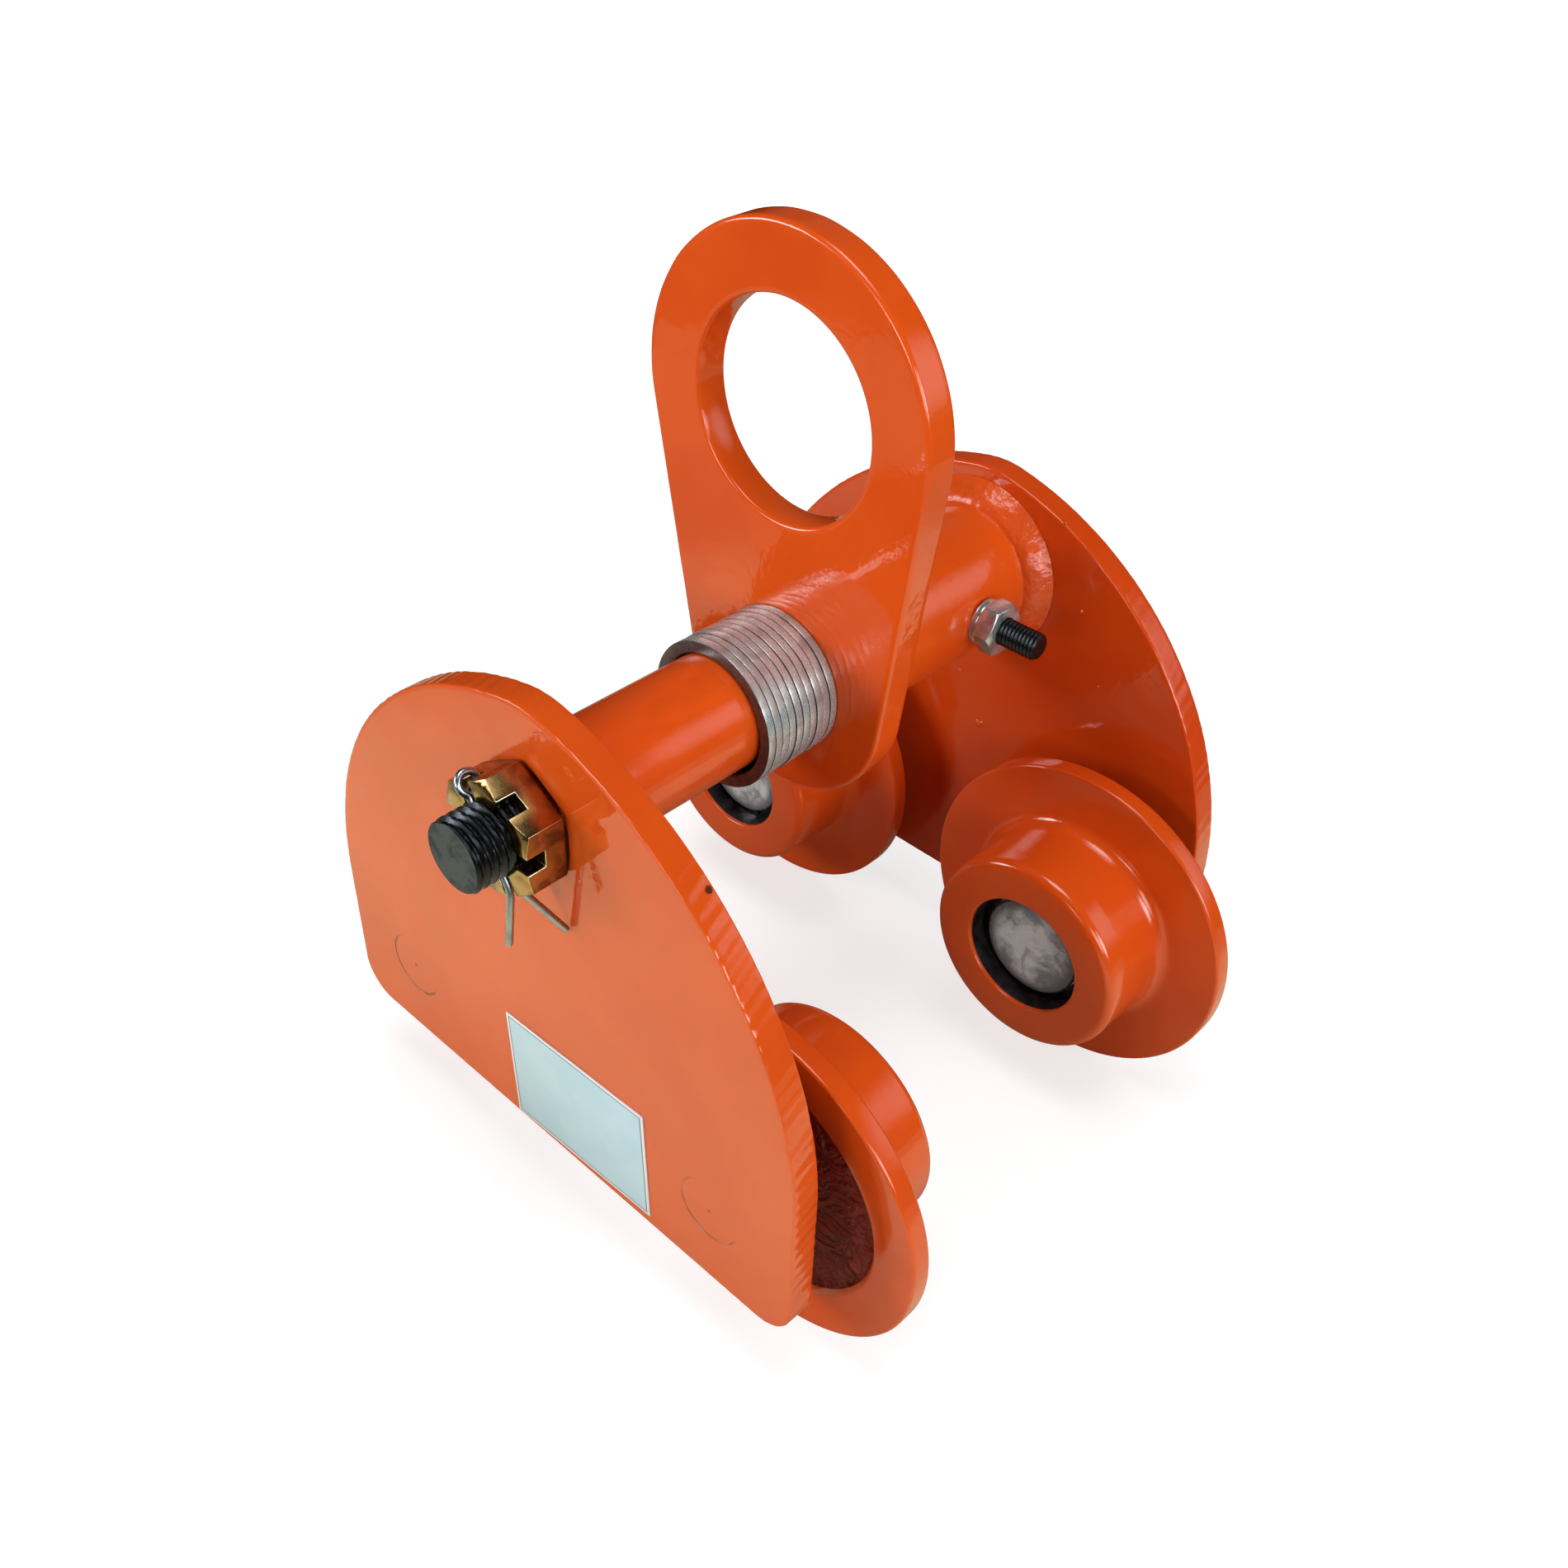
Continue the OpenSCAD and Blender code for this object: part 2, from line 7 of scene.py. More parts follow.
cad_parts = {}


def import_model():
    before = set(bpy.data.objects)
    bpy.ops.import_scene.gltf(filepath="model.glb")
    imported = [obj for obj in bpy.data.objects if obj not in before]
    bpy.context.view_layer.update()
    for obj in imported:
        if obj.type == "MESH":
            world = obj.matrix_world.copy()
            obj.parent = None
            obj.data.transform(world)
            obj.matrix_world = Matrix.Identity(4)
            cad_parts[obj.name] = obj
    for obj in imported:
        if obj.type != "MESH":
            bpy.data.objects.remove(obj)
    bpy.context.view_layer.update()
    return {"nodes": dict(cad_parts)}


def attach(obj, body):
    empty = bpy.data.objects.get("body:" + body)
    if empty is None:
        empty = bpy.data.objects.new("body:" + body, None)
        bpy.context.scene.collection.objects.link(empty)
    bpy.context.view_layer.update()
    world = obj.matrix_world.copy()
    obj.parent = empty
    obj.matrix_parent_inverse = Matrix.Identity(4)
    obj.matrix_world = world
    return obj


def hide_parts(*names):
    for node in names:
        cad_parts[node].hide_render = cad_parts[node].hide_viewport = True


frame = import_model()

MM = 0.001
FIXED = "trolley_frame"

# Side plates. Sizes and places are in millimetres, as in the solid model, down to the rating plate
FRONT_OUT, FRONT_IN, REAR_IN, REAR_OUT = -96.5, -86.5, 113.5, 123.5
PLATE_Z, PLATE_T, PLATE_H, HALF_LEN, CORNER_R = 30.0, 10.0, 184.5, 110.0, 14.0
ARCH_SHIFT, TIP_R = 18.0, 40.0
PIN_RING_R, CHIP_AT = 12.1, (66.2, -88.2, 184.9)
RIM_STEP, HOLE_SIDES = 0.8, 120

# Load shaft, socket tube and suspension eye. PLAY is the gap round the shaft and its thread
SHAFT_Z, SHAFT_R, SHAFT_RECESS, PLAY = 176.0, 20.0, 4.0, 0.3
THREAD_R, THREAD_LEN, THREAD_PITCH, THREAD_DEPTH, THREAD_TIP = 12.0, 27.0, 3.0, 1.55, 0.9
TUBE_R, TUBE_MOUTH = 26.0, 24.0
EYE_FRONT, EYE_T, EYE_REACH, EYE_LEAN = 8.7, 12.0, 90.0, 2.5
EYE_TOP_R, EYE_FOOT_R, EYE_HOLE_R = 56.5, 42.5, 35.0

# Spacer washers, which hang on the shaft
SPACER_R, SPACER_BORE, SPACER_HANG = 25.5, 21.2, 0.9
SPACER_T, SPACER_PITCH, FRONT_SPACERS = 3.0, 3.15, 10

# Wheels, pins and bearings. Places along an axle count from the side plate's inner face
WHEEL_Z, AXLE_X, AXLE_R, HEAD_R, SLEEVE_R = 63.0, 75.0, 10.0, 18.2, 13.8
GAP, FLANGE_T, FLANGE_R, TREAD_R, TREAD_LEN = 12.5, 7.5, 63.0, 39.5, 31.0
BEARING_R, BEARING_FRONT, BEARING_BACK, LIP_R = 23.5, 40.5, 26.5, 18.4
POCKET_R, POCKET_DEPTH = 47.5, 3.0
CORNERS = {"front_left": (-AXLE_X, FRONT_IN, 1), "front_right": (AXLE_X, FRONT_IN, 1),
           "rear_left": (-AXLE_X, REAR_IN, -1), "rear_right": (AXLE_X, REAR_IN, -1)}

# Castle nut, cross bolt, cotter pin and rating plate
CASTLE_H, SLOT_DEPTH = 15.0, 6.5
BOLT_Y, BOLT_R, BOLT_PITCH, BOLT_DEPTH, BOLT_TIP = 83.5, 5.0, 1.5, 0.75, 1.0
BOLT_SHANK, BOLT_LEN, BOLT_HEAD_H, BOLT_HEAD_W = 40.0, 76.0, 6.4, 17.0
WIRE_R, LOOP_R = 1.2, 3.3
LABEL_X, LABEL_Z, LABEL_W, LABEL_H, LABEL_TURN = 13.0, 57.0, 67.5, 47.5, 2.5

# Stage, in metres. ROOM is the light that comes from all round. The floor has one colour of its own
# and two for mirrored rays, near and far: the far one shows in part from about PAPER_FADE and alone
# from about PAPER_EDGE. PAPER_GLOW is how brightly the floor shines to the camera, near and far
ROOM, FLOOR_HALF = 0.02, 6.0
PAPER, PAPER_NEAR, PAPER_FAR = (0.5, 0.5, 0.5), (1.0, 0.97, 0.64), (0.01, 0.01, 0.01)
PAPER_GLOW, PAPER_FADE, PAPER_EDGE = (0.65, 1.0), 0.37, 0.68

# Name, azimuth from the front towards +X, elevation, distance, width and height, power, mirrored
LAMPS = (("front", 0.0, 12.0, 1.7, (1.3, 0.7), 10.0, True),
         ("front_left", -45.0, 14.0, 1.7, (1.3, 0.8), 18.0, True),
         ("right", 92.0, 18.0, 1.6, (1.2, 0.9), 14.0, True),
         ("right_front", 60.0, 18.0, 1.7, (1.1, 0.9), 8.0, True),
         ("back_left", -140.0, 30.0, 1.6, (1.3, 1.1), 8.0, False),
         ("top", 20.0, 84.0, 1.6, (1.3, 1.3), 15.0, True),
         ("window", 132.0, 22.0, 1.6, (1.3, 1.3), 3.0, True))
LAMP_AIM = (0.0, 0.0, 0.15)

# Camera: place in metres, then azimuth, elevation and roll in degrees, and its focal length as a
# share of the picture's width
CAMERA_AT, CAMERA_TURN = (0.28825, -0.30582, 0.46437), (42.146, 38.053, 2.333)
SENSOR, FOCAL_SHARE = 36.0, 1900.4/1900.0


# Materials
class Nodes:
    """Builds one node material, with lengths in metres."""

    def __init__(self, name):
        self.mat = bpy.data.materials.new(name)
        self.mat.use_nodes = True
        self.tree = self.mat.node_tree
        self.tree.nodes.clear()
        self.out = self.tree.nodes.new("ShaderNodeOutputMaterial")
        self.bsdf = self.tree.nodes.new("ShaderNodeBsdfPrincipled")
        self.link(self.bsdf.outputs[0], self.out.inputs["Surface"])
        self.coord = self.tree.nodes.new("ShaderNodeTexCoord").outputs["Object"]

    def link(self, a, b):
        self.tree.links.new(a, b)

    def put(self, socket, value):
        """Links an output to a socket, or gives the socket a value; a colour also gets its alpha."""
        if hasattr(value, "is_output"):
            self.link(value, socket)
        elif isinstance(value, tuple) and len(value) == 3 and len(socket.default_value) == 4:
            socket.default_value = (*value, 1.0)
        else:
            socket.default_value = value

    def set(self, **values):
        for key, value in values.items():
            self.put(self.bsdf.inputs[key.replace("_", " ")], value)

    def math(self, op, a, b=None):
        n = self.tree.nodes.new("ShaderNodeMath")
        n.operation = op
        self.put(n.inputs[0], a)
        if b is not None:
            self.put(n.inputs[1], b)
        return n.outputs[0]

    def vector(self, op, a, b=None):
        n = self.tree.nodes.new("ShaderNodeVectorMath")
        n.operation = op
        self.put(n.inputs[0], a)
        if b is not None:
            self.put(n.inputs[1], b)
        return n.outputs["Value"] if op in ("LENGTH", "DOT_PRODUCT") else n.outputs[0]

    def noise(self, scale, detail=2.0, rough=0.5, distortion=0.0, at=None):
        n = self.tree.nodes.new("ShaderNodeTexNoise")
        n.inputs["Scale"].default_value = scale
        n.inputs["Detail"].default_value = detail
        n.inputs["Roughness"].default_value = rough
        n.inputs["Distortion"].default_value = distortion
        self.link(self.coord if at is None else at, n.inputs["Vector"])
        return n.outputs[0]

    def ramp(self, value, low, high, to_low=0.0, to_high=1.0):
        """A smooth step between low and high."""
        n = self.tree.nodes.new("ShaderNodeMapRange")
        n.interpolation_type = "SMOOTHSTEP"
        self.put(n.inputs[0], value)
        for i, v in enumerate((low, high, to_low, to_high)):
            n.inputs[i + 1].default_value = v
        return n.outputs[0]

    def mix(self, factor, a, b):
        n = self.tree.nodes.new("ShaderNodeMix")
        n.data_type = "RGBA"
        self.put(n.inputs["Factor"], factor)
        self.put(n.inputs[6], a)
        self.put(n.inputs[7], b)
        return n.outputs[2]

    def bump(self, height, distance, strength=1.0, normal=None):
        n = self.tree.nodes.new("ShaderNodeBump")
        n.inputs["Strength"].default_value = strength
        n.inputs["Distance"].default_value = distance
        self.put(n.inputs["Height"], height)
        if normal is not None:
            self.put(n.inputs["Normal"], normal)
        return n.outputs[0]

    def split(self):
        n = self.tree.nodes.new("ShaderNodeSeparateXYZ")
        self.link(self.coord, n.inputs[0])
        return n.outputs

    def join(self, x, y, z):
        n = self.tree.nodes.new("ShaderNodeCombineXYZ")
        for i, v in enumerate((x, y, z)):
            self.put(n.inputs[i], v)
        return n.outputs[0]


def pin_marks(m):
    """Where the plates' outer faces show the riveted pins: broken rings with a centre mark. The rings'
    dark colour is a painted shade of the groove, kept to its lower left.
    """
    x, y, z = m.split()
    flat = m.join(x, 0.0, z)
    marks = None
    for pin_x in (-AXLE_X*MM, AXLE_X*MM):
        offset = m.vector("SUBTRACT", flat, (pin_x, 0.0, WHEEL_Z*MM))
        away = m.vector("LENGTH", offset)
        ring = m.ramp(m.math("ABSOLUTE", m.math("SUBTRACT", away, PIN_RING_R*MM)), 0.0, 0.0007, 1.0, 0.0)
        # Painted shade: the ring is darkened only on its lower left side, where the groove's wall is
        # shaded.
        side = m.ramp(m.vector("DOT_PRODUCT", offset, (-0.55, 0.0, -0.84)), -0.007, 0.004)
        broken = m.ramp(m.noise(130.0, 1.0), 0.38, 0.52, 0.25, 1.0)
        ring = m.math("MULTIPLY", ring, m.math("MULTIPLY", side, broken))
        mark = m.math("MAXIMUM", ring, m.ramp(away, 0.0003, 0.0009, 0.9, 0.0))
        marks = mark if marks is None else m.math("MAXIMUM", marks, mark)
    middle, half = (FRONT_OUT + REAR_OUT)/2*MM, (REAR_OUT - FRONT_OUT)/2*MM
    off = m.math("SUBTRACT", m.math("ABSOLUTE", m.math("SUBTRACT", y, middle)), half)
    return m.math("MULTIPLY", marks, m.ramp(m.math("ABSOLUTE", off), 0.0002, 0.001, 1.0, 0.0))


def chip(m):
    """Where a small ragged chip shows in the front plate's rim."""
    away = m.vector("LENGTH", m.vector("SUBTRACT", m.coord, tuple(c*MM for c in CHIP_AT)))
    ragged = m.math("MULTIPLY", m.math("SUBTRACT", m.noise(900.0, 2.0), 0.5), 0.0012)
    return m.ramp(m.math("ADD", away, ragged), 0.0010, 0.0014, 1.0, 0.0)


def enamel(name, color, deep, peel=1.0, marks=False, haze=0.03):
    """Glossy sprayed enamel: an even coat with slight orange peel and slow changes of tone."""
    m = Nodes(name)
    tone = m.ramp(m.noise(22.0, 3.0), 0.35, 0.68)
    specks = m.ramp(m.noise(1500.0, 2.0, 0.7), 0.70, 0.80)
    base = m.mix(tone, color, deep)
    base = m.mix(m.math("MULTIPLY", specks, 0.35), base, tuple(c*0.45 for c in deep))
    normal = m.bump(m.noise(60.0, 1.0), 0.0008*peel, 0.35)
    normal = m.bump(m.noise(420.0, 2.0, 0.45), 0.00012*peel, 0.5, normal)
    if marks:
        # The pins' rings darken the paint as a painted shade of their grooves, on the lower left only.
        groove = pin_marks(m)
        base = m.mix(m.math("MULTIPLY", groove, 0.75), base, (0.16, 0.022, 0.004))
        base = m.mix(m.math("MULTIPLY", chip(m), 0.9), base, (0.035, 0.014, 0.010))
        normal = m.bump(m.math("MULTIPLY", groove, -1.0), 0.0006, 0.8, normal)
    m.set(Base_Color=base, Roughness=0.5, Metallic=0.0, Specular_IOR_Level=0.04,
          Coat_Weight=1.0, Coat_Roughness=haze, Coat_IOR=1.52, Normal=normal, Coat_Normal=normal)
    return m.mat


def metal(name, color, stain, rough, grain, stain_amount, metallic=1.0, worn_and_highlight=None, foot=None):
    """Machined or plated steel: fine turning lines and cloudy stains. The edge colour, if given, shows
    rubbed edges and is also a painted edge highlight; foot is the place along Y where a painted shade
    darkens the base."""
    m = Nodes(name)
    cloud = m.ramp(m.noise(140.0, 4.0, 0.6, 0.4), 0.42, 0.68)
    fine = m.noise(1800.0, 3.0, 0.7)
    lines = m.noise(1.0, 3.0, 0.6, at=m.vector("MULTIPLY", m.coord, (900.0, 7000.0, 900.0)))
    base = m.mix(m.math("MULTIPLY", cloud, stain_amount), color, stain)
    base = m.mix(m.math("MULTIPLY", m.ramp(fine, 0.5, 0.8), 0.25), base, tuple(c*0.55 for c in color))
    roughness = m.math("ADD", m.ramp(cloud, 0.0, 1.0, rough*0.85, rough*1.25),
                       m.ramp(lines, 0.3, 0.7, -0.05, 0.05))
    edge = None
    if worn_and_highlight:
        # The edge colour covers the rounded edges: rubbed edges and a painted edge highlight.
        soft = m.tree.nodes.new("ShaderNodeBevel")
        soft.samples = 8
        soft.inputs["Radius"].default_value = 0.0004
        edge = soft.outputs[0]
        flat = m.tree.nodes.new("ShaderNodeNewGeometry").outputs["Normal"]
        base = m.mix(m.ramp(m.vector("DOT_PRODUCT", edge, flat), 0.90, 0.995, 1.0, 0.0), base, worn_and_highlight)
    # Painted shade: the base darkens towards foot, where the nut stands against the plate.
    if foot:
        base = m.mix(m.ramp(m.split()[1], foot - 0.0022, foot - 0.0009), base, (0.045, 0.010, 0.006))
    normal = m.bump(lines, 0.00003*grain, 0.6, edge)
    normal = m.bump(fine, 0.00002*grain, 0.5, normal)
    m.set(Base_Color=base, Roughness=roughness, Metallic=metallic, Normal=normal)
    return m.mat


def cast_recess():
    """Thick paint over a rough casting: wrinkled and still glossy, its dark red partly the paint's own and
    partly a painted shade.
    """
    m = Nodes("cast_recess")
    folds = m.noise(95.0, 3.0, 0.55, 2.2)
    # Dark red that is partly painted shade of the recess.
    base = m.mix(m.ramp(folds, 0.35, 0.65), (0.13, 0.006, 0.004), (0.24, 0.015, 0.009))
    normal = m.bump(folds, 0.0055, 0.8)
    normal = m.bump(m.noise(320.0, 3.0, 0.6, 1.2), 0.0012, 0.6, normal)
    m.set(Base_Color=base, Roughness=0.5, Specular_IOR_Level=0.05, Coat_Weight=0.5,
          Coat_Roughness=0.12, Normal=normal, Coat_Normal=normal)
    return m.mat


def turned_face():
    """The pins' heads: turned rings under grey smears, darker towards the edge as a painted shade."""
    m = Nodes("turned_face")
    place = m.split()
    across = m.math("SUBTRACT", m.math("ABSOLUTE", place[0]), AXLE_X*MM)
    r = m.vector("LENGTH", m.join(across, 0.0, m.math("SUBTRACT", place[2], WHEEL_Z*MM)))
    rings = m.noise(1.0, 3.0, 0.7, at=m.join(m.math("MULTIPLY", r, 1600.0), 0.0, 0.0))
    smear = m.ramp(m.noise(75.0, 5.0, 0.7, 0.4), 0.38, 0.60)
    base = m.mix(smear, (0.86, 0.97, 1.0), (0.24, 0.27, 0.31))
    base = m.mix(m.math("MULTIPLY", m.ramp(rings, 0.35, 0.65), 0.30), base, (0.46, 0.51, 0.57))
    # Painted shade: darker towards the head's edge.
    base = m.mix(m.ramp(r, 0.0135, 0.0185), base, (0.18, 0.20, 0.23))
    m.set(Base_Color=base, Roughness=m.ramp(smear, 0.0, 1.0, 0.26, 0.42), Metallic=0.35,
          Normal=m.bump(rings, 0.00006, 0.7))
    return m.mat


def bore_black():
    """The bore of a wheel: nearly black, with smears."""
    m = Nodes("bore_black")
    smear = m.noise(160.0, 3.0, 0.6, 0.8)
    base = m.mix(m.ramp(smear, 0.4, 0.7), (0.006, 0.006, 0.008), (0.025, 0.018, 0.018))
    m.set(Base_Color=base, Roughness=m.ramp(smear, 0.3, 0.7, 0.3, 0.55), Specular_IOR_Level=0.4,
          Normal=m.bump(smear, 0.0004, 0.4))
    return m.mat


def blank_label():
    """A blank printed plate: white border, thin dark line and a pale face."""
    m = Nodes("blank_label")
    turn = math.radians(LABEL_TURN)
    away = m.vector("SUBTRACT", m.coord, (LABEL_X*MM, 0.0, LABEL_Z*MM))
    across = m.vector("DOT_PRODUCT", away, (math.cos(turn), 0.0, math.sin(turn)))
    up = m.vector("DOT_PRODUCT", away, (-math.sin(turn), 0.0, math.cos(turn)))
    inset = m.math("MINIMUM", m.math("SUBTRACT", LABEL_W/2*MM, m.math("ABSOLUTE", across)),
                   m.math("SUBTRACT", LABEL_H/2*MM, m.math("ABSOLUTE", up)))
    line = m.ramp(m.math("ABSOLUTE", m.math("SUBTRACT", inset, 0.0013)), 0.00015, 0.00032, 1.0, 0.0)
    face = m.mix(m.ramp(m.noise(70.0, 2.0), 0.35, 0.7), (0.48, 0.69, 0.76), (0.53, 0.73, 0.79))
    base = m.mix(m.ramp(inset, 0.0010, 0.0016), (0.80, 0.82, 0.82), face)
    base = m.mix(m.math("MULTIPLY", line, 0.85), base, (0.03, 0.04, 0.05))
    m.set(Base_Color=base, Roughness=0.30, Metallic=0.0, Specular_IOR_Level=0.4, Coat_Weight=0.3,
          Coat_Roughness=0.1, Normal=m.bump(m.noise(300.0, 2.0), 0.0001, 0.3))
    return m.mat


ORANGE = enamel("orange_enamel", (0.74, 0.088, 0.0065), (0.68, 0.074, 0.005))
BAR = enamel("bar_enamel", (0.74, 0.088, 0.0065), (0.67, 0.072, 0.005), haze=0.11)
PLATE = enamel("plate_enamel", (0.72, 0.088, 0.0065), (0.67, 0.077, 0.0055), marks=True)
# The rear plate has the front plate's paint made deeper red, as a painted shade.
SHADED_REAR_PAINT = enamel("rear_plate_shaded_enamel", (0.66, 0.066, 0.0045), (0.61, 0.056, 0.004), marks=True)
WHEEL = enamel("wheel_enamel", (0.70, 0.080, 0.0055), (0.62, 0.064, 0.0045), peel=0.8, haze=0.09)
WELD = enamel("weld_enamel", (0.70, 0.082, 0.006), (0.60, 0.064, 0.005), peel=8.0, haze=0.26)
GALV = metal("galvanised_steel", (0.58, 0.67, 0.69), (0.34, 0.30, 0.27), 0.30, 1.3, 0.75, metallic=0.6)
# Washers' faces and bores: galvanised steel painted dark, as shade in the gaps of the stack.
SHADED_WASHER_FACES = metal("washer_faces_painted_shade", (0.16, 0.17, 0.18), (0.07, 0.06, 0.06), 0.34, 1.5, 0.6, metallic=0.8)
# Near-white edges on the zinc: wear and a painted edge highlight.
ZINC = metal("zinc_plate", (0.66, 0.78, 0.80), (0.22, 0.22, 0.21), 0.15, 0.8, 0.8, metallic=0.75,
             worn_and_highlight=(0.95, 0.97, 0.95))
# Yellow zinc of the castle nut: its pale edges are wear and a painted edge highlight, and its dark foot
# against the front plate is painted shade.
GOLD = metal("yellow_zinc", (0.44, 0.29, 0.11), (0.13, 0.055, 0.018), 0.20, 0.8, 0.9,
             worn_and_highlight=(0.95, 0.88, 0.62), foot=FRONT_OUT*MM)
STEEL = metal("plain_steel", (0.37, 0.42, 0.47), (0.22, 0.23, 0.25), 0.32, 1.5, 0.6)
BLACK = metal("black_steel", (0.030, 0.034, 0.040), (0.012, 0.013, 0.016), 0.34, 1.5, 0.5)
END = metal("dark_end_face", (0.030, 0.048, 0.065), (0.02, 0.03, 0.04), 0.48, 2.0, 0.5, metallic=0.6)
BEARING = metal("bearing_steel", (0.62, 0.63, 0.65), (0.45, 0.45, 0.46), 0.14, 0.6, 0.3)
PRESSED = metal("pressed_steel", (0.50, 0.51, 0.52), (0.34, 0.34, 0.34), 0.3, 1.0, 0.4)
CAST, BORE, LABEL, DISC = cast_recess(), bore_black(), blank_label(), turned_face()


# Meshes
def new_mesh(name, verts, faces, mats):
    """A mesh from points in millimetres."""
    mesh = bpy.data.meshes.new(name)
    mesh.from_pydata([tuple(c*MM for c in v) for v in verts], [], faces)
    for mat in mats:
        mesh.materials.append(mat)
    return mesh


def settle(name, mesh, sharp, body, node):
    """Shades a mesh and makes it a piece that rides on a body and may stand for a solid's node."""
    mesh.shade_smooth()
    mesh.set_sharp_from_angle(angle=math.radians(sharp))
    obj = bpy.data.objects.new(name, mesh)
    bpy.context.scene.collection.objects.link(obj)
    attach(obj, body)
    if node:
        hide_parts(node)


def piece(name, verts, faces, mats, body, node, face_mats, sharp):
    """A piece from points in millimetres, with points that meet merged."""
    mesh = new_mesh(name, verts, faces, mats)
    mesh.polygons.foreach_set("material_index", face_mats)
    bm = bmesh.new()
    bm.from_mesh(mesh)
    bmesh.ops.remove_doubles(bm, verts=bm.verts, dist=2e-6)
    bmesh.ops.recalc_face_normals(bm, faces=bm.faces)
    bm.to_mesh(mesh)
    bm.free()
    settle(name, mesh, sharp, body, node)


def rounded_copy(node, name, width, mat):
    """A copy of a fixed solid's mesh with its edges rounded."""
    bm = bmesh.new()
    bm.from_mesh(frame["nodes"][node].data)
    bmesh.ops.remove_doubles(bm, verts=bm.verts, dist=1e-6)
    bmesh.ops.dissolve_limit(bm, angle_limit=math.radians(0.6), verts=bm.verts, edges=bm.edges)
    corner = math.radians(32.0)
    edges = [e for e in bm.edges if len(e.link_faces) == 2 and e.calc_face_angle(0.0) > corner]
    bmesh.ops.bevel(bm, geom=edges, offset=width*MM, segments=2, profile=0.6, affect="EDGES",
                    clamp_overlap=True)
    for f in bm.faces:
        f.material_index = 0
    bmesh.ops.recalc_face_normals(bm, faces=bm.faces)
    mesh = bpy.data.meshes.new(name)
    bm.to_mesh(mesh)
    bm.free()
    mesh.materials.append(mat)
    settle(name, mesh, 40.0, FIXED, node)


def arc(cx, cy, r, a, b, n):
    """Points of a circle's arc from a to b degrees, in n steps."""
    turns = [math.radians(a + (b - a)*i/n) for i in range(n + 1)]
    return [(cx + r*math.cos(t), cy + r*math.sin(t)) for t in turns]


def with_mat(points, mat):
    return [(p[0], p[1], mat) for p in points]


def along(x0, z0, y0, way=1):
    """Places (u, v, h) on an axis along Y through (x0, z0), with h counted from y0."""
    return lambda u, v, h: (x0 + u, y0 + way*h, z0 + v)


def along_x(x0, y0, z0):
    """Places (u, v, h) on an axis along X through (y0, z0), with h counted from x0."""
    return lambda u, v, h: (x0 + h, y0 + u, z0 + v)


def ring_faces(start, rows, n):
    """The quads between rows of n points, each row closed to a ring."""
    faces = []
    for j in range(rows - 1):
        low = start + j*n
        high = low + n
        for i in range(n):
            k = (i + 1) % n
            faces.append((low + i, low + k, high + k, high + i))
    return faces


class Grid:
    """Collects the points and faces of several strips that make up one piece."""

    def __init__(self):
        self.verts, self.faces, self.mats = [], [], []

    def lathe(self, profile, place, segments, wobble=None):
        """Turns a list of (radius, height) or (radius, height, material) about an axis.

        place puts a point in the world, and wobble adds to the radius."""
        start = len(self.verts)
        for i in range(segments):
            a = 2*math.pi*i/segments
            for j, p in enumerate(profile):
                r = p[0] + (wobble(a, j, p) if wobble else 0.0)
                self.verts.append(place(r*math.cos(a), r*math.sin(a), p[1]))
        n = len(profile)
        for i in range(segments):
            k = (i + 1) % segments
            for j in range(n - 1):
                quad = (start + i*n + j, start + k*n + j, start + k*n + j + 1, start + i*n + j + 1)
                p0, p1 = profile[j], profile[j + 1]
                if p0[0] < 1e-6:
                    quad = (quad[0], quad[2], quad[3])
                elif p1[0] < 1e-6:
                    quad = (quad[0], quad[1], quad[2])
                self.faces.append(quad)
                self.mats.append(p1[2] if len(p1) > 2 else 0)

    def rings(self, points, rows, n, mat):
        """Adds rows of n points, each row closed to a ring."""
        faces = ring_faces(len(self.verts), rows, n)
        self.verts += points
        self.faces += faces
        self.mats += [mat]*len(faces)

    def thread(self, place, mat, r, pitch, depth, low, high, tip, per_turn, per_pitch):
        """Adds a helical thread from low to high, cut back by tip to a cone at high."""
        steps = int((high - low)/pitch*per_pitch)
        points = []
        for j in range(steps + 1):
            h = low + (high - low)*j/steps
            for i in range(per_turn):
                a = 2*math.pi*i/per_turn
                t = (h/pitch - i/per_turn) % 1.0
                crest = max(0.0, min(1.0, 2.3*abs(t - 0.5) - 0.15))
                radius = min(r - depth*(1.0 - crest), r - tip + (high - h))
                points.append(place(radius*math.cos(a), radius*math.sin(a), h))
        self.rings(points, steps + 1, per_turn, mat)

    def build(self, name, mats, body, node, sharp):
        piece(name, self.verts, self.faces, mats, body, node, self.mats, sharp)


# Side plates and eye
def walk(outline, step):
    """Evenly spaced points and outward normals along a closed list of points that runs clockwise."""
    sides, total = [], 0.0
    for i, corner in enumerate(outline):
        a, b = Vector(corner), Vector(outline[(i + 1) % len(outline)])
        length = (b - a).length
        if length >= 1e-9:
            sides.append((a, b, total, length))
            total += length
    count = int(total/step)
    spots, k = [], 0
    for i in range(count):
        s = total*i/count
        while sides[k][2] + sides[k][3] < s:
            k += 1
        a, b, s0, length = sides[k]
        spots.append((a.lerp(b, (s - s0)/length), s))
    result = []
    for i, (spot, s) in enumerate(spots):
        way = (spots[(i + 1) % count][0] - spots[i - 1][0]).normalized()
        result.append((spot, Vector((-way.y, way.x)), s))
    return result


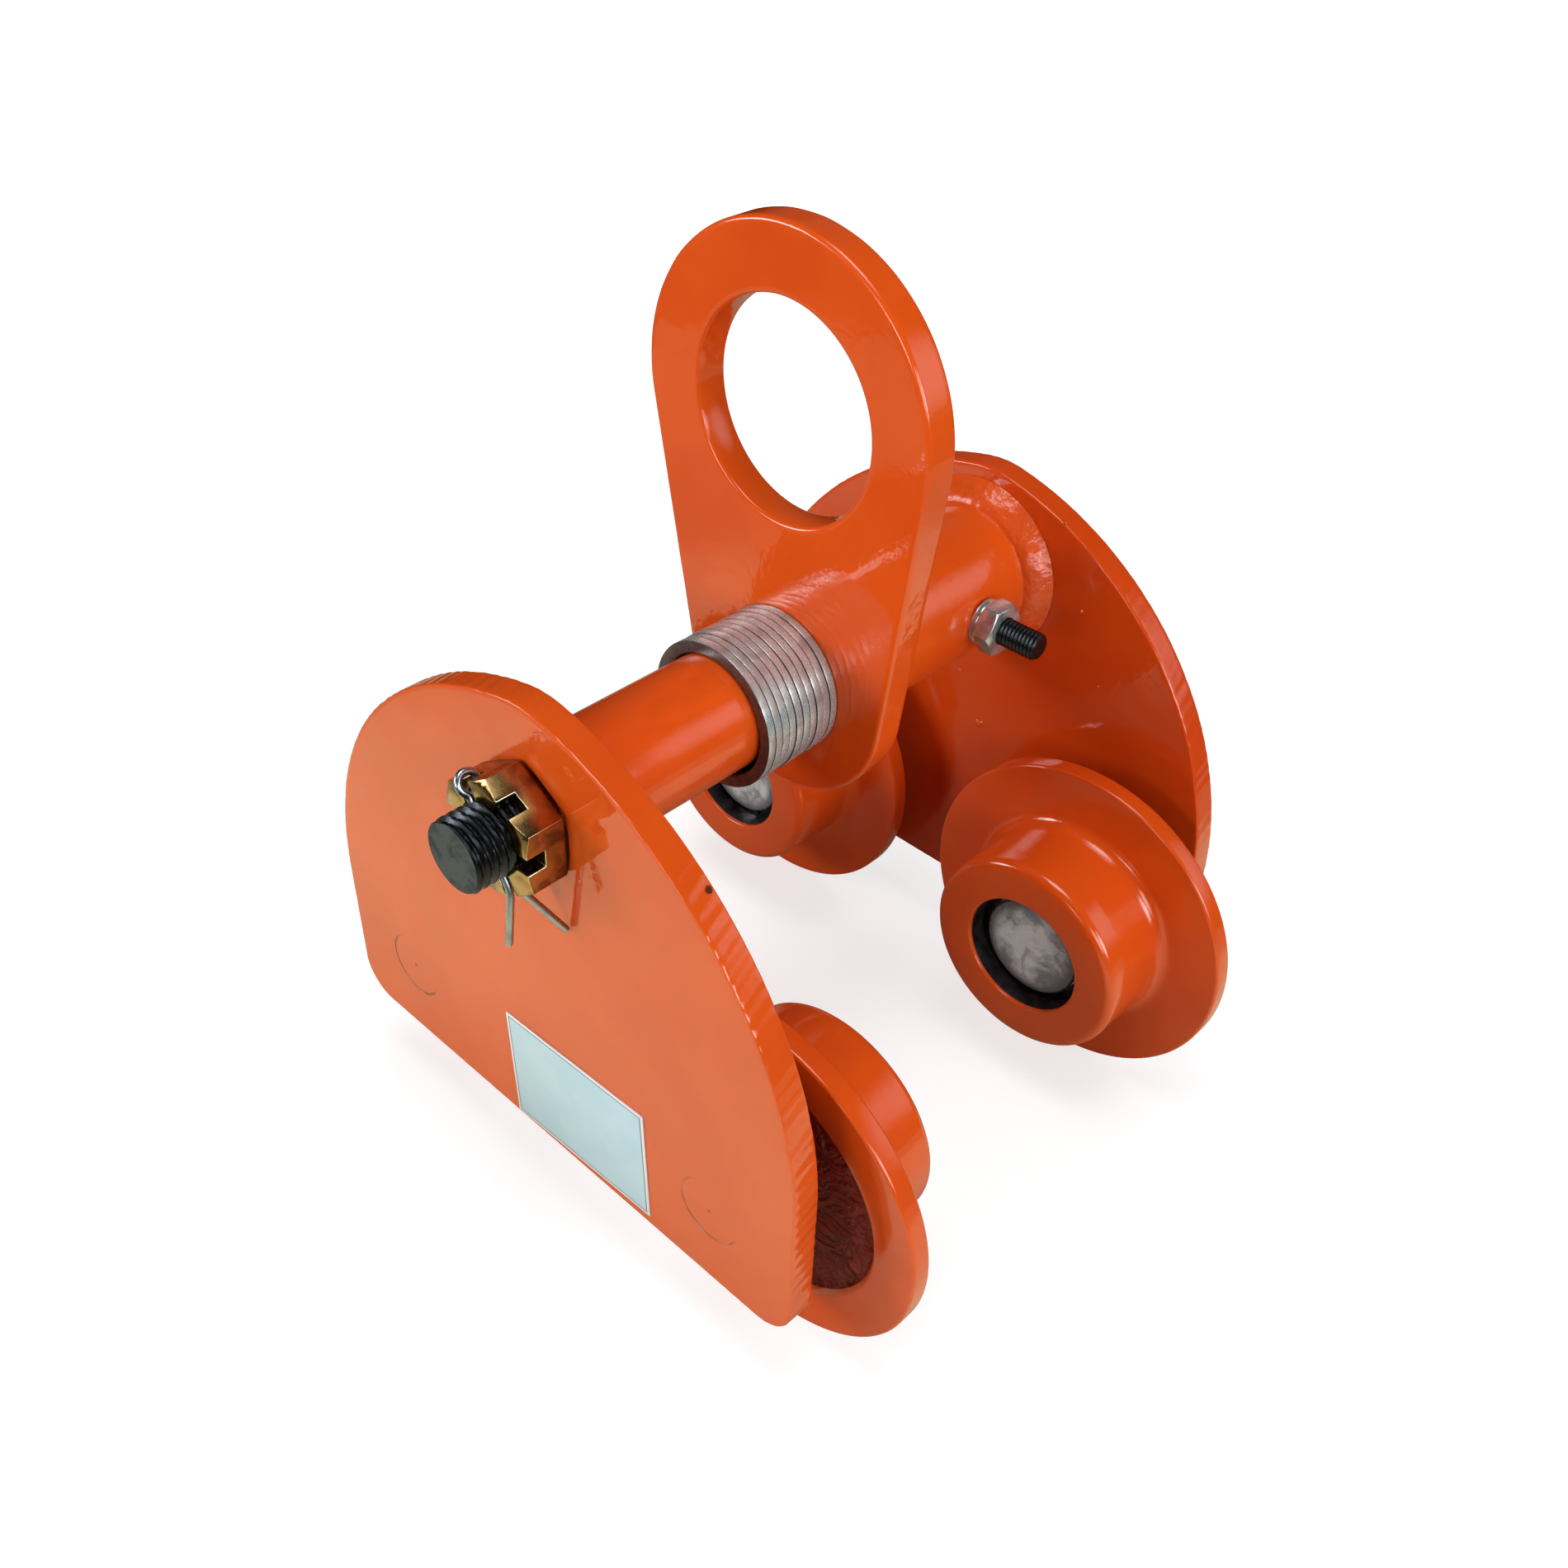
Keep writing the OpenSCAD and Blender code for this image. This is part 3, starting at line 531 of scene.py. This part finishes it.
def slab(name, outline, holes, y0, y1, edge_r, node, mat, body, ripple, hole_edge=0.5):
    """A flat plate between y0 and y1 with rounded edges, a rippled rim and round holes, each (x, z, r)."""
    t = y1 - y0
    ring = walk(outline, RIM_STEP)
    turns = [math.radians(a) for a in (0, 22.5, 45, 67.5, 90)]
    rows = [(edge_r + 1.2, 0.0)]
    rows += [(edge_r - edge_r*math.sin(a), edge_r - edge_r*math.cos(a)) for a in turns]
    middle = [(0.0, edge_r + (t - 2*edge_r)*k/6.0) for k in range(1, 6)]
    rows = rows + middle + [(inset, t - y) for inset, y in reversed(rows)]
    verts = []
    for inset, y in rows:
        for p, out, s in ring:
            push = ripple(s, y)*(1.0 - inset/edge_r) if inset <= edge_r else 0.0
            q = p - out*(inset - push)
            verts.append((q.x, y0 + y, q.y))
    faces = ring_faces(0, len(rows), len(ring))
    e = hole_edge
    hole_rows = [(e + 1.0, 0.0), (e, 0.0), (e*0.3, e*0.3), (0.0, e)]
    hole_rows += [(out, t - y) for out, y in reversed(hole_rows)]
    bases = []
    for hx, hz, hr in holes:
        bases.append(len(verts))
        for out, y in hole_rows:
            for i in range(HOLE_SIDES):
                a = 2*math.pi*i/HOLE_SIDES
                verts.append((hx + (hr + out)*math.cos(a), y0 + y, hz + (hr + out)*math.sin(a)))
        faces += [(b, a, d, c) for a, b, c, d in ring_faces(bases[-1], len(hole_rows), HOLE_SIDES)]
    mesh = new_mesh(name, verts, faces, [mat])
    bm = bmesh.new()
    bm.from_mesh(mesh)
    bm.verts.ensure_lookup_table()

    def edges(start, n):
        """The edges of the ring whose points start at start."""
        return [bm.edges.get((bm.verts[start + i], bm.verts[start + (i + 1) % n])) for i in range(n)]

    for outer, inner in ((0, 0), (len(rows) - 1, len(hole_rows) - 1)):
        loop = edges(outer*len(ring), len(ring))
        for base in bases:
            loop += edges(base + inner*HOLE_SIDES, HOLE_SIDES)
        bmesh.ops.triangle_fill(bm, use_beauty=True, use_dissolve=False, edges=loop, normal=(0, -1, 0))
    bmesh.ops.recalc_face_normals(bm, faces=bm.faces)
    bm.to_mesh(mesh)
    bm.free()
    settle(name, mesh, 50.0, body, node)


def plate_outline():
    """A pointed arch with a round tip, on short straight sides with round corners at the foot."""
    side_r = HALF_LEN + ARCH_SHIFT
    tip = PLATE_Z + PLATE_H - TIP_R
    spring = tip - math.sqrt((side_r - TIP_R)**2 - ARCH_SHIFT**2)
    turn = math.degrees(math.atan2(tip - spring, ARCH_SHIFT))
    points = arc(ARCH_SHIFT, spring, side_r, 180.0, 180.0 - turn, 80)
    points += arc(0.0, tip, TIP_R, 180.0 - turn, turn, 16)
    points += arc(-ARCH_SHIFT, spring, side_r, turn, 0.0, 80)
    points += arc(HALF_LEN - CORNER_R, PLATE_Z + CORNER_R, CORNER_R, 0.0, -90.0, 20)
    points += arc(CORNER_R - HALF_LEN, PLATE_Z + CORNER_R, CORNER_R, -90.0, -180.0, 20)
    return points


def flame_cut(seed, amount):
    """The shallow ripples that a cutting torch leaves across a plate's rim, with a few deeper nicks."""
    rng = random.Random(seed)
    nicks = [(rng.uniform(0.0, 640.0), rng.uniform(0.4, 1.0)) for _ in range(16)]

    def height(s, y):
        drag = s + 0.35*y
        wave = math.sin(2*math.pi*drag/5.2 + 4.0*noise.noise((s*0.05, seed, 0.0)))
        v = 0.13*wave*(0.6 + 0.8*noise.noise((s*0.02, seed + 1.0, 0.0)))
        v += 0.20*noise.noise((drag*0.13, seed + 3.0, y*0.02))
        v += 0.05*noise.noise((drag*0.5, seed + 7.0, y*0.03))
        for at, deep in nicks:
            v -= deep*0.28*math.exp(-((drag - at)/1.1)**2)
        return amount*(v - 0.22)

    return height


def leaning(x, z):
    """A point of the upright eye, turned with it about the load shaft."""
    a = math.radians(EYE_LEAN)
    up = z - SHAFT_Z
    return x*math.cos(a) - up*math.sin(a), SHAFT_Z + x*math.sin(a) + up*math.cos(a)


def eye_outline():
    """A large and a small arc joined by two straight sides, and leaning a little."""
    side = math.degrees(math.asin((EYE_TOP_R - EYE_FOOT_R)/EYE_REACH))
    points = arc(0.0, SHAFT_Z + EYE_REACH, EYE_TOP_R, 180.0 + side, -side, 150)
    points += arc(0.0, SHAFT_Z, EYE_FOOT_R, -side, side - 180.0, 90)
    return [leaning(*p) for p in points]


def plates_and_eye():
    slab("front_plate_body", plate_outline(), [(0.0, SHAFT_Z, THREAD_R + PLAY)], FRONT_OUT, FRONT_IN,
         0.7, "front_side_plate", PLATE, FIXED, flame_cut(3, 1.0))
    slab("rear_plate_body", plate_outline(), [(0.0, SHAFT_Z, SHAFT_R + PLAY)], REAR_IN, REAR_OUT,
         0.9, "rear_side_plate", SHADED_REAR_PAINT, FIXED, flame_cut(11, 0.55))
    holes = [(*leaning(0.0, SHAFT_Z + EYE_REACH), EYE_HOLE_R), (0.0, SHAFT_Z, SHAFT_R + PLAY)]
    slab("suspension_eye_body", eye_outline(), holes, EYE_FRONT, EYE_FRONT + EYE_T,
         1.5, "suspension_eye", ORANGE, "suspension_eye",
         lambda s, y: 0.12*noise.noise((s*0.09, 5.0, y*0.02)) - 0.06, hole_edge=1.1)


plates_and_eye()


# Shaft, tube and weld
def shaft():
    """The load shaft: its painted bar, and its thread through and beyond the front plate."""
    g = Grid()
    place = along(0.0, SHAFT_Z, FRONT_IN)
    length = REAR_OUT - SHAFT_RECESS - FRONT_IN
    front, back = 0.6, 1.2
    bar = [(THREAD_R, 0.0), (SHAFT_R - front, 0.0)] + arc(SHAFT_R - front, front, front, -90, 0, 3)
    bar += [(SHAFT_R, length*k/6) for k in range(1, 6)]
    bar += [(SHAFT_R, length - back), (SHAFT_R - back, length), (0.0, length)]
    g.lathe(with_mat(bar, 0), place, 128)
    place = along(0.0, SHAFT_Z, FRONT_IN, -1)
    tip = THREAD_LEN + PLATE_T
    end_r = THREAD_R - THREAD_TIP
    g.thread(place, 1, THREAD_R, THREAD_PITCH, THREAD_DEPTH, 0.0, tip, THREAD_TIP, 96, 10)
    end = [(end_r, tip), (end_r - 0.35, tip - 0.01), (4.0, tip - 0.05), (0.0, tip - 0.05)]
    g.lathe(with_mat(end, 2), place, 96)
    g.build("load_shaft_body", [BAR, BLACK, END], FIXED, "load_shaft", 45)


def tube():
    """The socket tube, and the lumpy weld bead between it and the rear plate."""
    g = Grid()
    place = along(0.0, SHAFT_Z, TUBE_MOUTH)
    length = REAR_IN - TUBE_MOUTH
    inner, edge = SHAFT_R + PLAY, 0.8
    outer = [(inner, 12.0), (inner, 0.5), (inner + 0.5, 0.0), (TUBE_R - edge, 0.0)]
    outer += arc(TUBE_R - edge, edge, edge, -90, 0, 4)
    outer += [(TUBE_R, length*k/8) for k in range(1, 9)]
    g.lathe(with_mat(outer, 0), place, 144)

    def wobble(a, j, p):
        fade = math.sin(math.pi*min(1.0, max(0.0, (j - 1)/9.0)))
        u, v = math.cos(a), math.sin(a)
        lumps = 0.75*noise.noise((u*3.0, v*3.0, j*0.2)) + 0.40*noise.noise((u*8.0, v*8.0, j*0.45 + 4.0))
        pits = 0.16*noise.noise((u*26.0, v*26.0, j*1.3 + 9.0))
        return fade*(0.15 + lumps + pits)

    bead = [(TUBE_R - 0.3, length - 8.6)]
    for k in range(9):
        rise = math.cos(math.radians(90*k/9.0))**0.85
        bead.append((TUBE_R + 0.2 + 7.0*(k/9.0)**1.15, length - 7.6*rise))
    bead += [(TUBE_R + 7.6, length - 0.2), (TUBE_R + 7.2, length)]
    g.lathe(with_mat(bead, 1), place, 320, wobble)
    g.build("socket_tube_body", [BAR, WELD], FIXED, "socket_tube", 60)


def paint_drops():
    """Painted-over spatter on the rear plate's inner face, each drop (x, z, r)."""
    g = Grid()
    for x, z, r in ((9.5, 109.0, 2.0), (-2.0, 128.0, 0.6), (46.0, 176.0, 0.8), (34.0, 206.0, 0.7),
                    (58.0, 150.0, 0.5)):
        high = r*0.55
        turns = [math.radians(a) for a in (0, 20, 40, 60, 75)]
        dome = [(r*math.cos(t), high*math.sin(t)) for t in turns]
        g.lathe([(r*1.25, -0.02)] + dome + [(0.0, high)], along(x, z, REAR_IN, -1), 20)
    g.build("paint_drops", [ORANGE], FIXED, None, 38)


shaft()
tube()
paint_drops()


# Wheels, axles and bearings
def wheel(corner):
    """A flanged wheel: cast pocket behind, flange, tread with its fillet, and bore with a ring groove."""
    x, y_in, way = CORNERS[corner]
    tread = GAP + FLANGE_T
    face = tread + TREAD_LEN
    floor = GAP + POCKET_DEPTH
    rim, bore_edge, fillet, shoulder = 1.1, 0.9, 5.0, 3.5
    groove, groove_w = BEARING_R + 0.9, 1.9
    prof = [(LIP_R, floor, 1), (POCKET_R - 3.5, floor, 1)]
    prof += with_mat(arc(POCKET_R - 3.5, floor - 2.2, 2.2, 90, 30, 3), 1)
    prof += [(POCKET_R - 0.5, GAP + 0.4, 0), (POCKET_R + 0.4, GAP, 0)]
    prof += with_mat(arc(FLANGE_R - rim, GAP + rim, rim, -90, 0, 6), 0)
    prof += with_mat(arc(FLANGE_R - rim, tread - rim, rim, 0, 90, 6), 0)
    prof += with_mat(arc(TREAD_R + fillet, tread + fillet, fillet, 270, 180, 7), 0)
    prof += [(TREAD_R, tread + 12.0, 0), (TREAD_R, tread + 20.0, 0)]
    prof += with_mat(arc(TREAD_R - shoulder, face - shoulder, shoulder, 0, 90, 8), 0)
    prof += with_mat(arc(BEARING_R + bore_edge, face - bore_edge, bore_edge, 90, 180, 5), 0)
    prof += [(BEARING_R, face - 1.6, 0)]
    bore = [(BEARING_R, face - 1.7), (BEARING_R, BEARING_FRONT + groove_w)]
    bore += [(groove, BEARING_FRONT + groove_w), (groove, BEARING_FRONT), (BEARING_R, BEARING_FRONT)]
    bore += [(BEARING_R, BEARING_BACK), (LIP_R, BEARING_BACK), (LIP_R, floor)]
    prof += with_mat(bore, 2)
    seed = list(CORNERS).index(corner)*7.0

    def wobble(a, j, p):
        if p[1] < floor + 0.01 and p[0] < POCKET_R - 1.0:
            return 0.0
        return 0.04*noise.noise((2*math.cos(a), 2*math.sin(a), seed + j*0.3)) - 0.04

    g = Grid()
    g.lathe(prof, along(x, WHEEL_Z, y_in, way), 176, wobble)
    g.build("wheel_body_" + corner, [WHEEL, CAST, BORE], "wheel_" + corner, "wheel_" + corner,
            40)


def axle(corner):
    """An axle pin, with a turned head that is slightly dished."""
    x, y_in, way = CORNERS[corner]
    f = BEARING_FRONT + 0.02
    top = f + 4.0
    wide = HEAD_R + 1.6
    prof = [(0.0, -9.6), (9.4, -9.6), (AXLE_R, -9.0), (AXLE_R, 10.0), (AXLE_R, f)]
    prof += [(13.5, f), (13.5, f + 0.5)]
    prof += [(HEAD_R - 0.8, f + 0.5), (HEAD_R - 0.2, f + 0.8), (HEAD_R, f + 1.2), (HEAD_R, f + 2.1)]
    prof += arc(wide - 0.5, f + 2.7, 0.5, -90, 0, 3) + arc(wide - 1.1, top - 1.1, 1.1, 0, 90, 5)
    prof += [(16.6, top), (15.6, top - 0.18), (11.0, top - 0.5), (6.0, top - 0.75), (0.0, top - 0.8)]
    g = Grid()
    g.lathe(prof, along(x, WHEEL_Z, y_in, way), 96)
    g.build("axle_pin_body_" + corner, [DISC], FIXED, "axle_pin_" + corner, 50)


def sleeve(corner):
    """The sleeve that keeps the bearing off the side plate."""
    x, y_in, way = CORNERS[corner]
    end, bore, edge = BEARING_BACK - 0.02, AXLE_R + 0.1, 0.6
    prof = [(bore, end), (bore, 0.0), (SLEEVE_R - edge, 0.0), (SLEEVE_R, edge), (SLEEVE_R, end/2)]
    prof += [(SLEEVE_R, end - edge), (SLEEVE_R - edge, end), (bore, end)]
    g = Grid()
    g.lathe(prof, along(x, WHEEL_Z, y_in, way), 72)
    g.build("axle_sleeve_body_" + corner, [CAST], FIXED, "axle_sleeve_" + corner, 30)


def bearing(corner):
    """Gives the bearing's own solids their materials and smooth shading."""
    for part, mat in (("bearing_outer_ring", BEARING), ("bearing_inner_ring", BEARING),
                      ("bearing_balls", BEARING), ("bearing_cage", PRESSED),
                      ("bearing_shields", PRESSED), ("retaining_ring", BLACK)):
        mesh = frame["nodes"][part + "_" + corner].data
        mesh.materials.clear()
        mesh.materials.append(mat)
        for p in mesh.polygons:
            p.use_smooth = True
        mesh.set_sharp_from_angle(angle=math.radians(35))


for corner in CORNERS:
    wheel(corner)
    axle(corner)
    sleeve(corner)
    bearing(corner)


# Washers, nuts, bolt and pin
def washers(name, y, count, node, seed):
    """Flat washers of slightly uneven thickness, each lying a little off centre; their faces and bores are
    painted dark as shade in the gaps of the stack.
    """
    rng = random.Random(seed)
    g = Grid()
    for i in range(count):
        a, off = rng.uniform(0, 2*math.pi), rng.uniform(0.05, 0.25)
        big = SPACER_R - off - rng.uniform(0.0, 0.15)
        e = rng.uniform(0.14, 0.30)
        t = SPACER_T - rng.choice((0.02, 0.05, 0.12, 0.22))
        near, far = arc(big - e, e, e, -90, 0, 3), arc(big - e, t - e, e, 0, 90, 3)
        prof = with_mat([(SPACER_BORE, t/2), (SPACER_BORE, 0.3), (SPACER_BORE + 0.3, 0.0)] + near[:3], 1)
        prof += with_mat(near[3:] + far[:2], 0)
        prof += with_mat(far[2:] + [(SPACER_BORE + 0.3, t), (SPACER_BORE, t - 0.3), (SPACER_BORE, t/2)], 1)
        centre = SHAFT_Z - SPACER_HANG + off*math.sin(a)
        g.lathe(prof, along(off*math.cos(a), centre, y + i*SPACER_PITCH), 120)
    g.build(name, [GALV, SHADED_WASHER_FACES], FIXED, node, 40)


def cross_bolt():
    """The bolt through tube and shaft: plain shank, threaded end, and a chamfered hexagon head."""
    g = Grid()
    place = along_x(-TUBE_R, BOLT_Y, SHAFT_Z)
    shank = [(BOLT_R, 0.0), (BOLT_R, 20.0), (BOLT_R, BOLT_SHANK), (BOLT_R - 0.05, BOLT_SHANK + 0.2)]
    g.lathe(shank, place, 48)
    g.thread(place, 0, BOLT_R, BOLT_PITCH, BOLT_DEPTH, BOLT_SHANK, BOLT_LEN, BOLT_TIP, 48, 8)
    end_r = BOLT_R - BOLT_TIP
    g.lathe([(end_r, BOLT_LEN), (end_r - 0.4, BOLT_LEN - 0.02), (0.0, BOLT_LEN - 0.02)], place, 48)
    sides, high, washer_r = 72, BOLT_HEAD_H, 8.2

    def flat_r(a):
        """How far the hexagon reaches at an angle."""
        return BOLT_HEAD_W/2/math.cos((a + math.pi/6) % (math.pi/3) - math.pi/6) - 0.05

    beyond = 2*BOLT_HEAD_W
    rows = [(BOLT_R, 0.0), (washer_r, 0.0), (beyond, 0.0), (beyond, -high + 1.6)]
    rows += [(9.9 - 1.75*k/3, -high + 1.15*(1 - k/3)) for k in range(4)] + [(0.0, -high)]
    points = []
    for r, h in rows:
        for i in range(sides):
            a = 2*math.pi*i/sides
            cut = min(r, flat_r(a)) if r > washer_r + 0.1 else r
            points.append(place(cut*math.cos(a), cut*math.sin(a), h))
    g.rings(points, len(rows), sides, 0)
    g.build("cross_bolt_body", [BLACK], FIXED, "cross_bolt", 35)


def cotter():
    """One folded wire, drawn along its legs and then turned into place."""
    gap = 1.06*WIRE_R
    loop_x = -THREAD_R - LOOP_R - WIRE_R - 0.5
    ear = LOOP_R/math.sqrt(2)
    neck, bend = loop_x + 2*ear - gap, 17.0
    cotter_y = CASTLE_H - SLOT_DEPTH/4
    sides = 20

    def rounded(path, i, d):
        """A curve in place of a path's corner, from d before it to d after it."""
        c = path[i]
        a, b = c + d*(path[i - 1] - c).normalized(), c + d*(path[i + 1] - c).normalized()
        return [(1 - t)**2*a + 2*t*(1 - t)*c + t*t*b for t in (k/8 for k in range(9))]

    straight = [Vector((33.5, -4, -9)), Vector((bend, -gap, 0)), Vector((neck, -gap, 0)),
                Vector((loop_x + ear, -ear, 0))]
    bent = [Vector((loop_x + ear, ear, 0)), Vector((neck, gap, 0)), Vector((bend, gap, 0)),
            Vector((37.0, cotter_y - WIRE_R - 0.1, -3))]
    turns = [math.radians(a) for a in range(315, 40, -9)]
    loop = [Vector((loop_x + LOOP_R*math.cos(t), LOOP_R*math.sin(t), 0)) for t in turns]
    path = [straight[0], straight[0].lerp(straight[1], 0.04)]
    path += rounded(straight, 1, 3) + rounded(straight, 2, 0.9) + loop
    path += rounded(bent, 1, 0.9) + rounded(bent, 2, 3)
    path += [bent[3].lerp(bent[2], 0.04), bent[3]]
    turn = Matrix.Rotation(math.radians(60), 3, "Y")
    move = Vector((0.0, FRONT_OUT - cotter_y, SHAFT_Z))
    last = len(path) - 1
    verts = []
    for i, p in enumerate(path):
        way = (path[min(i + 1, last)] - path[max(i - 1, 0)]).normalized()
        u = Vector((0, 0, 1)).cross(way).normalized()
        w = way.cross(u)
        r = WIRE_R*0.82 if i in (0, last) else WIRE_R
        for k in range(sides):
            a = 2*math.pi*k/sides
            verts.append(tuple(turn @ (p + r*math.cos(a)*u + r*math.sin(a)*w) + move))
    faces = ring_faces(0, len(path), sides)
    faces.append(tuple(range(sides)))
    faces.append(tuple(last*sides + k for k in range(sides - 1, -1, -1)))
    piece("cotter_pin_body", verts, faces, [STEEL], FIXED, "cotter_pin", [0]*len(faces), 50)


washers("front_washer_stack", EYE_FRONT - FRONT_SPACERS*SPACER_PITCH, FRONT_SPACERS,
        "front_spacer_washers", 4)
washers("rear_washer", EYE_FRONT + EYE_T + 0.15, 1, "rear_spacer_washers", 9)
rounded_copy("castle_nut", "castle_nut_body", 0.35, GOLD)
rounded_copy("cross_bolt_nut", "cross_bolt_nut_body", 0.35, ZINC)
rounded_copy("spring_washer", "spring_washer_body", 0.25, ZINC)
cross_bolt()
cotter()
rounded_copy("rating_plate", "rating_plate_body", 0.15, LABEL)


# Stage, lamps and camera
class Floor(Nodes):
    """A white floor that keeps its shadow. Mirrored rays see it bright near the object, dim a little
    further out and dark beyond that, and darker under and behind the object as a painted shade."""

    def __init__(self):
        super().__init__("white_floor")
        self.tree.nodes.remove(self.bsdf)
        path = self.tree.nodes.new("ShaderNodeLightPath").outputs
        paper = self.tree.nodes.new("ShaderNodeBsdfDiffuse")
        glow = self.tree.nodes.new("ShaderNodeEmission")
        both = self.tree.nodes.new("ShaderNodeAddShader")
        away = self.vector("LENGTH", self.coord)
        place = self.split()
        # Painted shade: to mirrored rays the floor is darker under and behind the object.
        under = self.math("MULTIPLY", self.ramp(place[1], -0.16, -0.07, 0.0, 0.65),
                          self.ramp(place[0], 0.10, 0.17, 1.0, 0.0))
        dim = self.ramp(away, PAPER_FADE - 0.03, PAPER_FADE + 0.05, 0.0, 0.62)
        dark = self.ramp(away, PAPER_EDGE - 0.08, PAPER_EDGE + 0.08)
        lost = self.math("MAXIMUM", under, self.math("MAXIMUM", dim, dark))
        mirrored = self.mix(lost, PAPER_NEAR, PAPER_FAR)
        self.put(paper.inputs["Color"], self.mix(path["Is Glossy Ray"], PAPER, mirrored))
        strength = self.ramp(away, 0.35, 1.2, *PAPER_GLOW)
        self.put(glow.inputs["Strength"], self.math("MULTIPLY", path["Is Camera Ray"], strength))
        self.link(paper.outputs[0], both.inputs[0])
        self.link(glow.outputs[0], both.inputs[1])
        self.link(both.outputs[0], self.out.inputs["Surface"])


def stage():
    """The floor, a large square under the object."""
    h = FLOOR_HALF
    mesh = bpy.data.meshes.new("floor")
    mesh.from_pydata([(-h, -h, 0), (h, -h, 0), (h, h, 0), (-h, h, 0)], [], [(0, 1, 2, 3)])
    mesh.materials.append(Floor().mat)
    obj = bpy.data.objects.new("floor", mesh)
    bpy.context.scene.collection.objects.link(obj)


def world():
    """White to the camera and nearly dark to everything else: the lamps light the object."""
    w = bpy.data.worlds.new("studio")
    bpy.context.scene.world = w
    w.use_nodes = True
    t = w.node_tree
    t.nodes.clear()
    out = t.nodes.new("ShaderNodeOutputWorld")
    path = t.nodes.new("ShaderNodeLightPath")
    back = t.nodes.new("ShaderNodeBackground")
    back.inputs["Color"].default_value = (1, 1, 1, 1)
    strength = t.nodes.new("ShaderNodeMapRange")
    strength.inputs[3].default_value = ROOM
    strength.inputs[4].default_value = 1.0
    t.links.new(path.outputs["Is Camera Ray"], strength.inputs[0])
    t.links.new(strength.outputs[0], back.inputs["Strength"])
    t.links.new(back.outputs[0], out.inputs["Surface"])


def towards(azimuth, elevation):
    """The direction at an azimuth from -Y towards +X and an elevation, both in radians."""
    level = math.cos(elevation)
    return Vector((math.sin(azimuth)*level, -math.cos(azimuth)*level, math.sin(elevation)))


def lamp(name, azimuth, elevation, distance, size, power, mirrored):
    """A soft lamp that faces the object, brightest at its middle."""
    data = bpy.data.lights.new(name, "AREA")
    data.shape = "RECTANGLE"
    data.size, data.size_y = size
    data.energy = power
    data.use_nodes = True
    tree = data.node_tree
    glow = next(n for n in tree.nodes if n.type == "EMISSION")
    place = tree.nodes.new("ShaderNodeNewGeometry")
    away = tree.nodes.new("ShaderNodeVectorMath")
    away.operation = "DISTANCE"
    away.inputs[1].default_value = (0.5, 0.5, 0.0)
    fade = tree.nodes.new("ShaderNodeMapRange")
    fade.interpolation_type = "SMOOTHSTEP"
    for i, v in enumerate((0.12, 0.5, 2.4, 0.0)):
        fade.inputs[i + 1].default_value = v
    tree.links.new(place.outputs["Parametric"], away.inputs[0])
    tree.links.new(away.outputs["Value"], fade.inputs[0])
    tree.links.new(fade.outputs[0], glow.inputs["Strength"])
    way = towards(math.radians(azimuth), math.radians(elevation))
    obj = bpy.data.objects.new(name, data)
    obj.location = Vector(LAMP_AIM) + distance*way
    obj.rotation_euler = way.to_track_quat("Z", "Y").to_euler()
    obj.visible_glossy = mirrored
    bpy.context.scene.collection.objects.link(obj)


def camera():
    """The camera of the photo's view."""
    data = bpy.data.cameras.new("camera")
    data.sensor_fit = "HORIZONTAL"
    data.sensor_width = SENSOR
    data.lens = SENSOR*FOCAL_SHARE
    data.clip_start = 0.01
    azimuth, elevation, roll = (math.radians(v) for v in CAMERA_TURN)
    back = towards(azimuth, elevation)
    right = Vector((math.cos(azimuth), math.sin(azimuth), 0.0))
    up = back.cross(right)
    r = right*math.cos(roll) + up*math.sin(roll)
    u = -right*math.sin(roll) + up*math.cos(roll)
    obj = bpy.data.objects.new("camera", data)
    obj.matrix_world = Matrix.Translation(CAMERA_AT) @ Matrix((r, u, back)).transposed().to_4x4()
    bpy.context.scene.collection.objects.link(obj)
    bpy.context.scene.camera = obj


stage()
world()
for settings in LAMPS:
    lamp(*settings)
camera()
bpy.context.scene.view_settings.view_transform = "Standard"
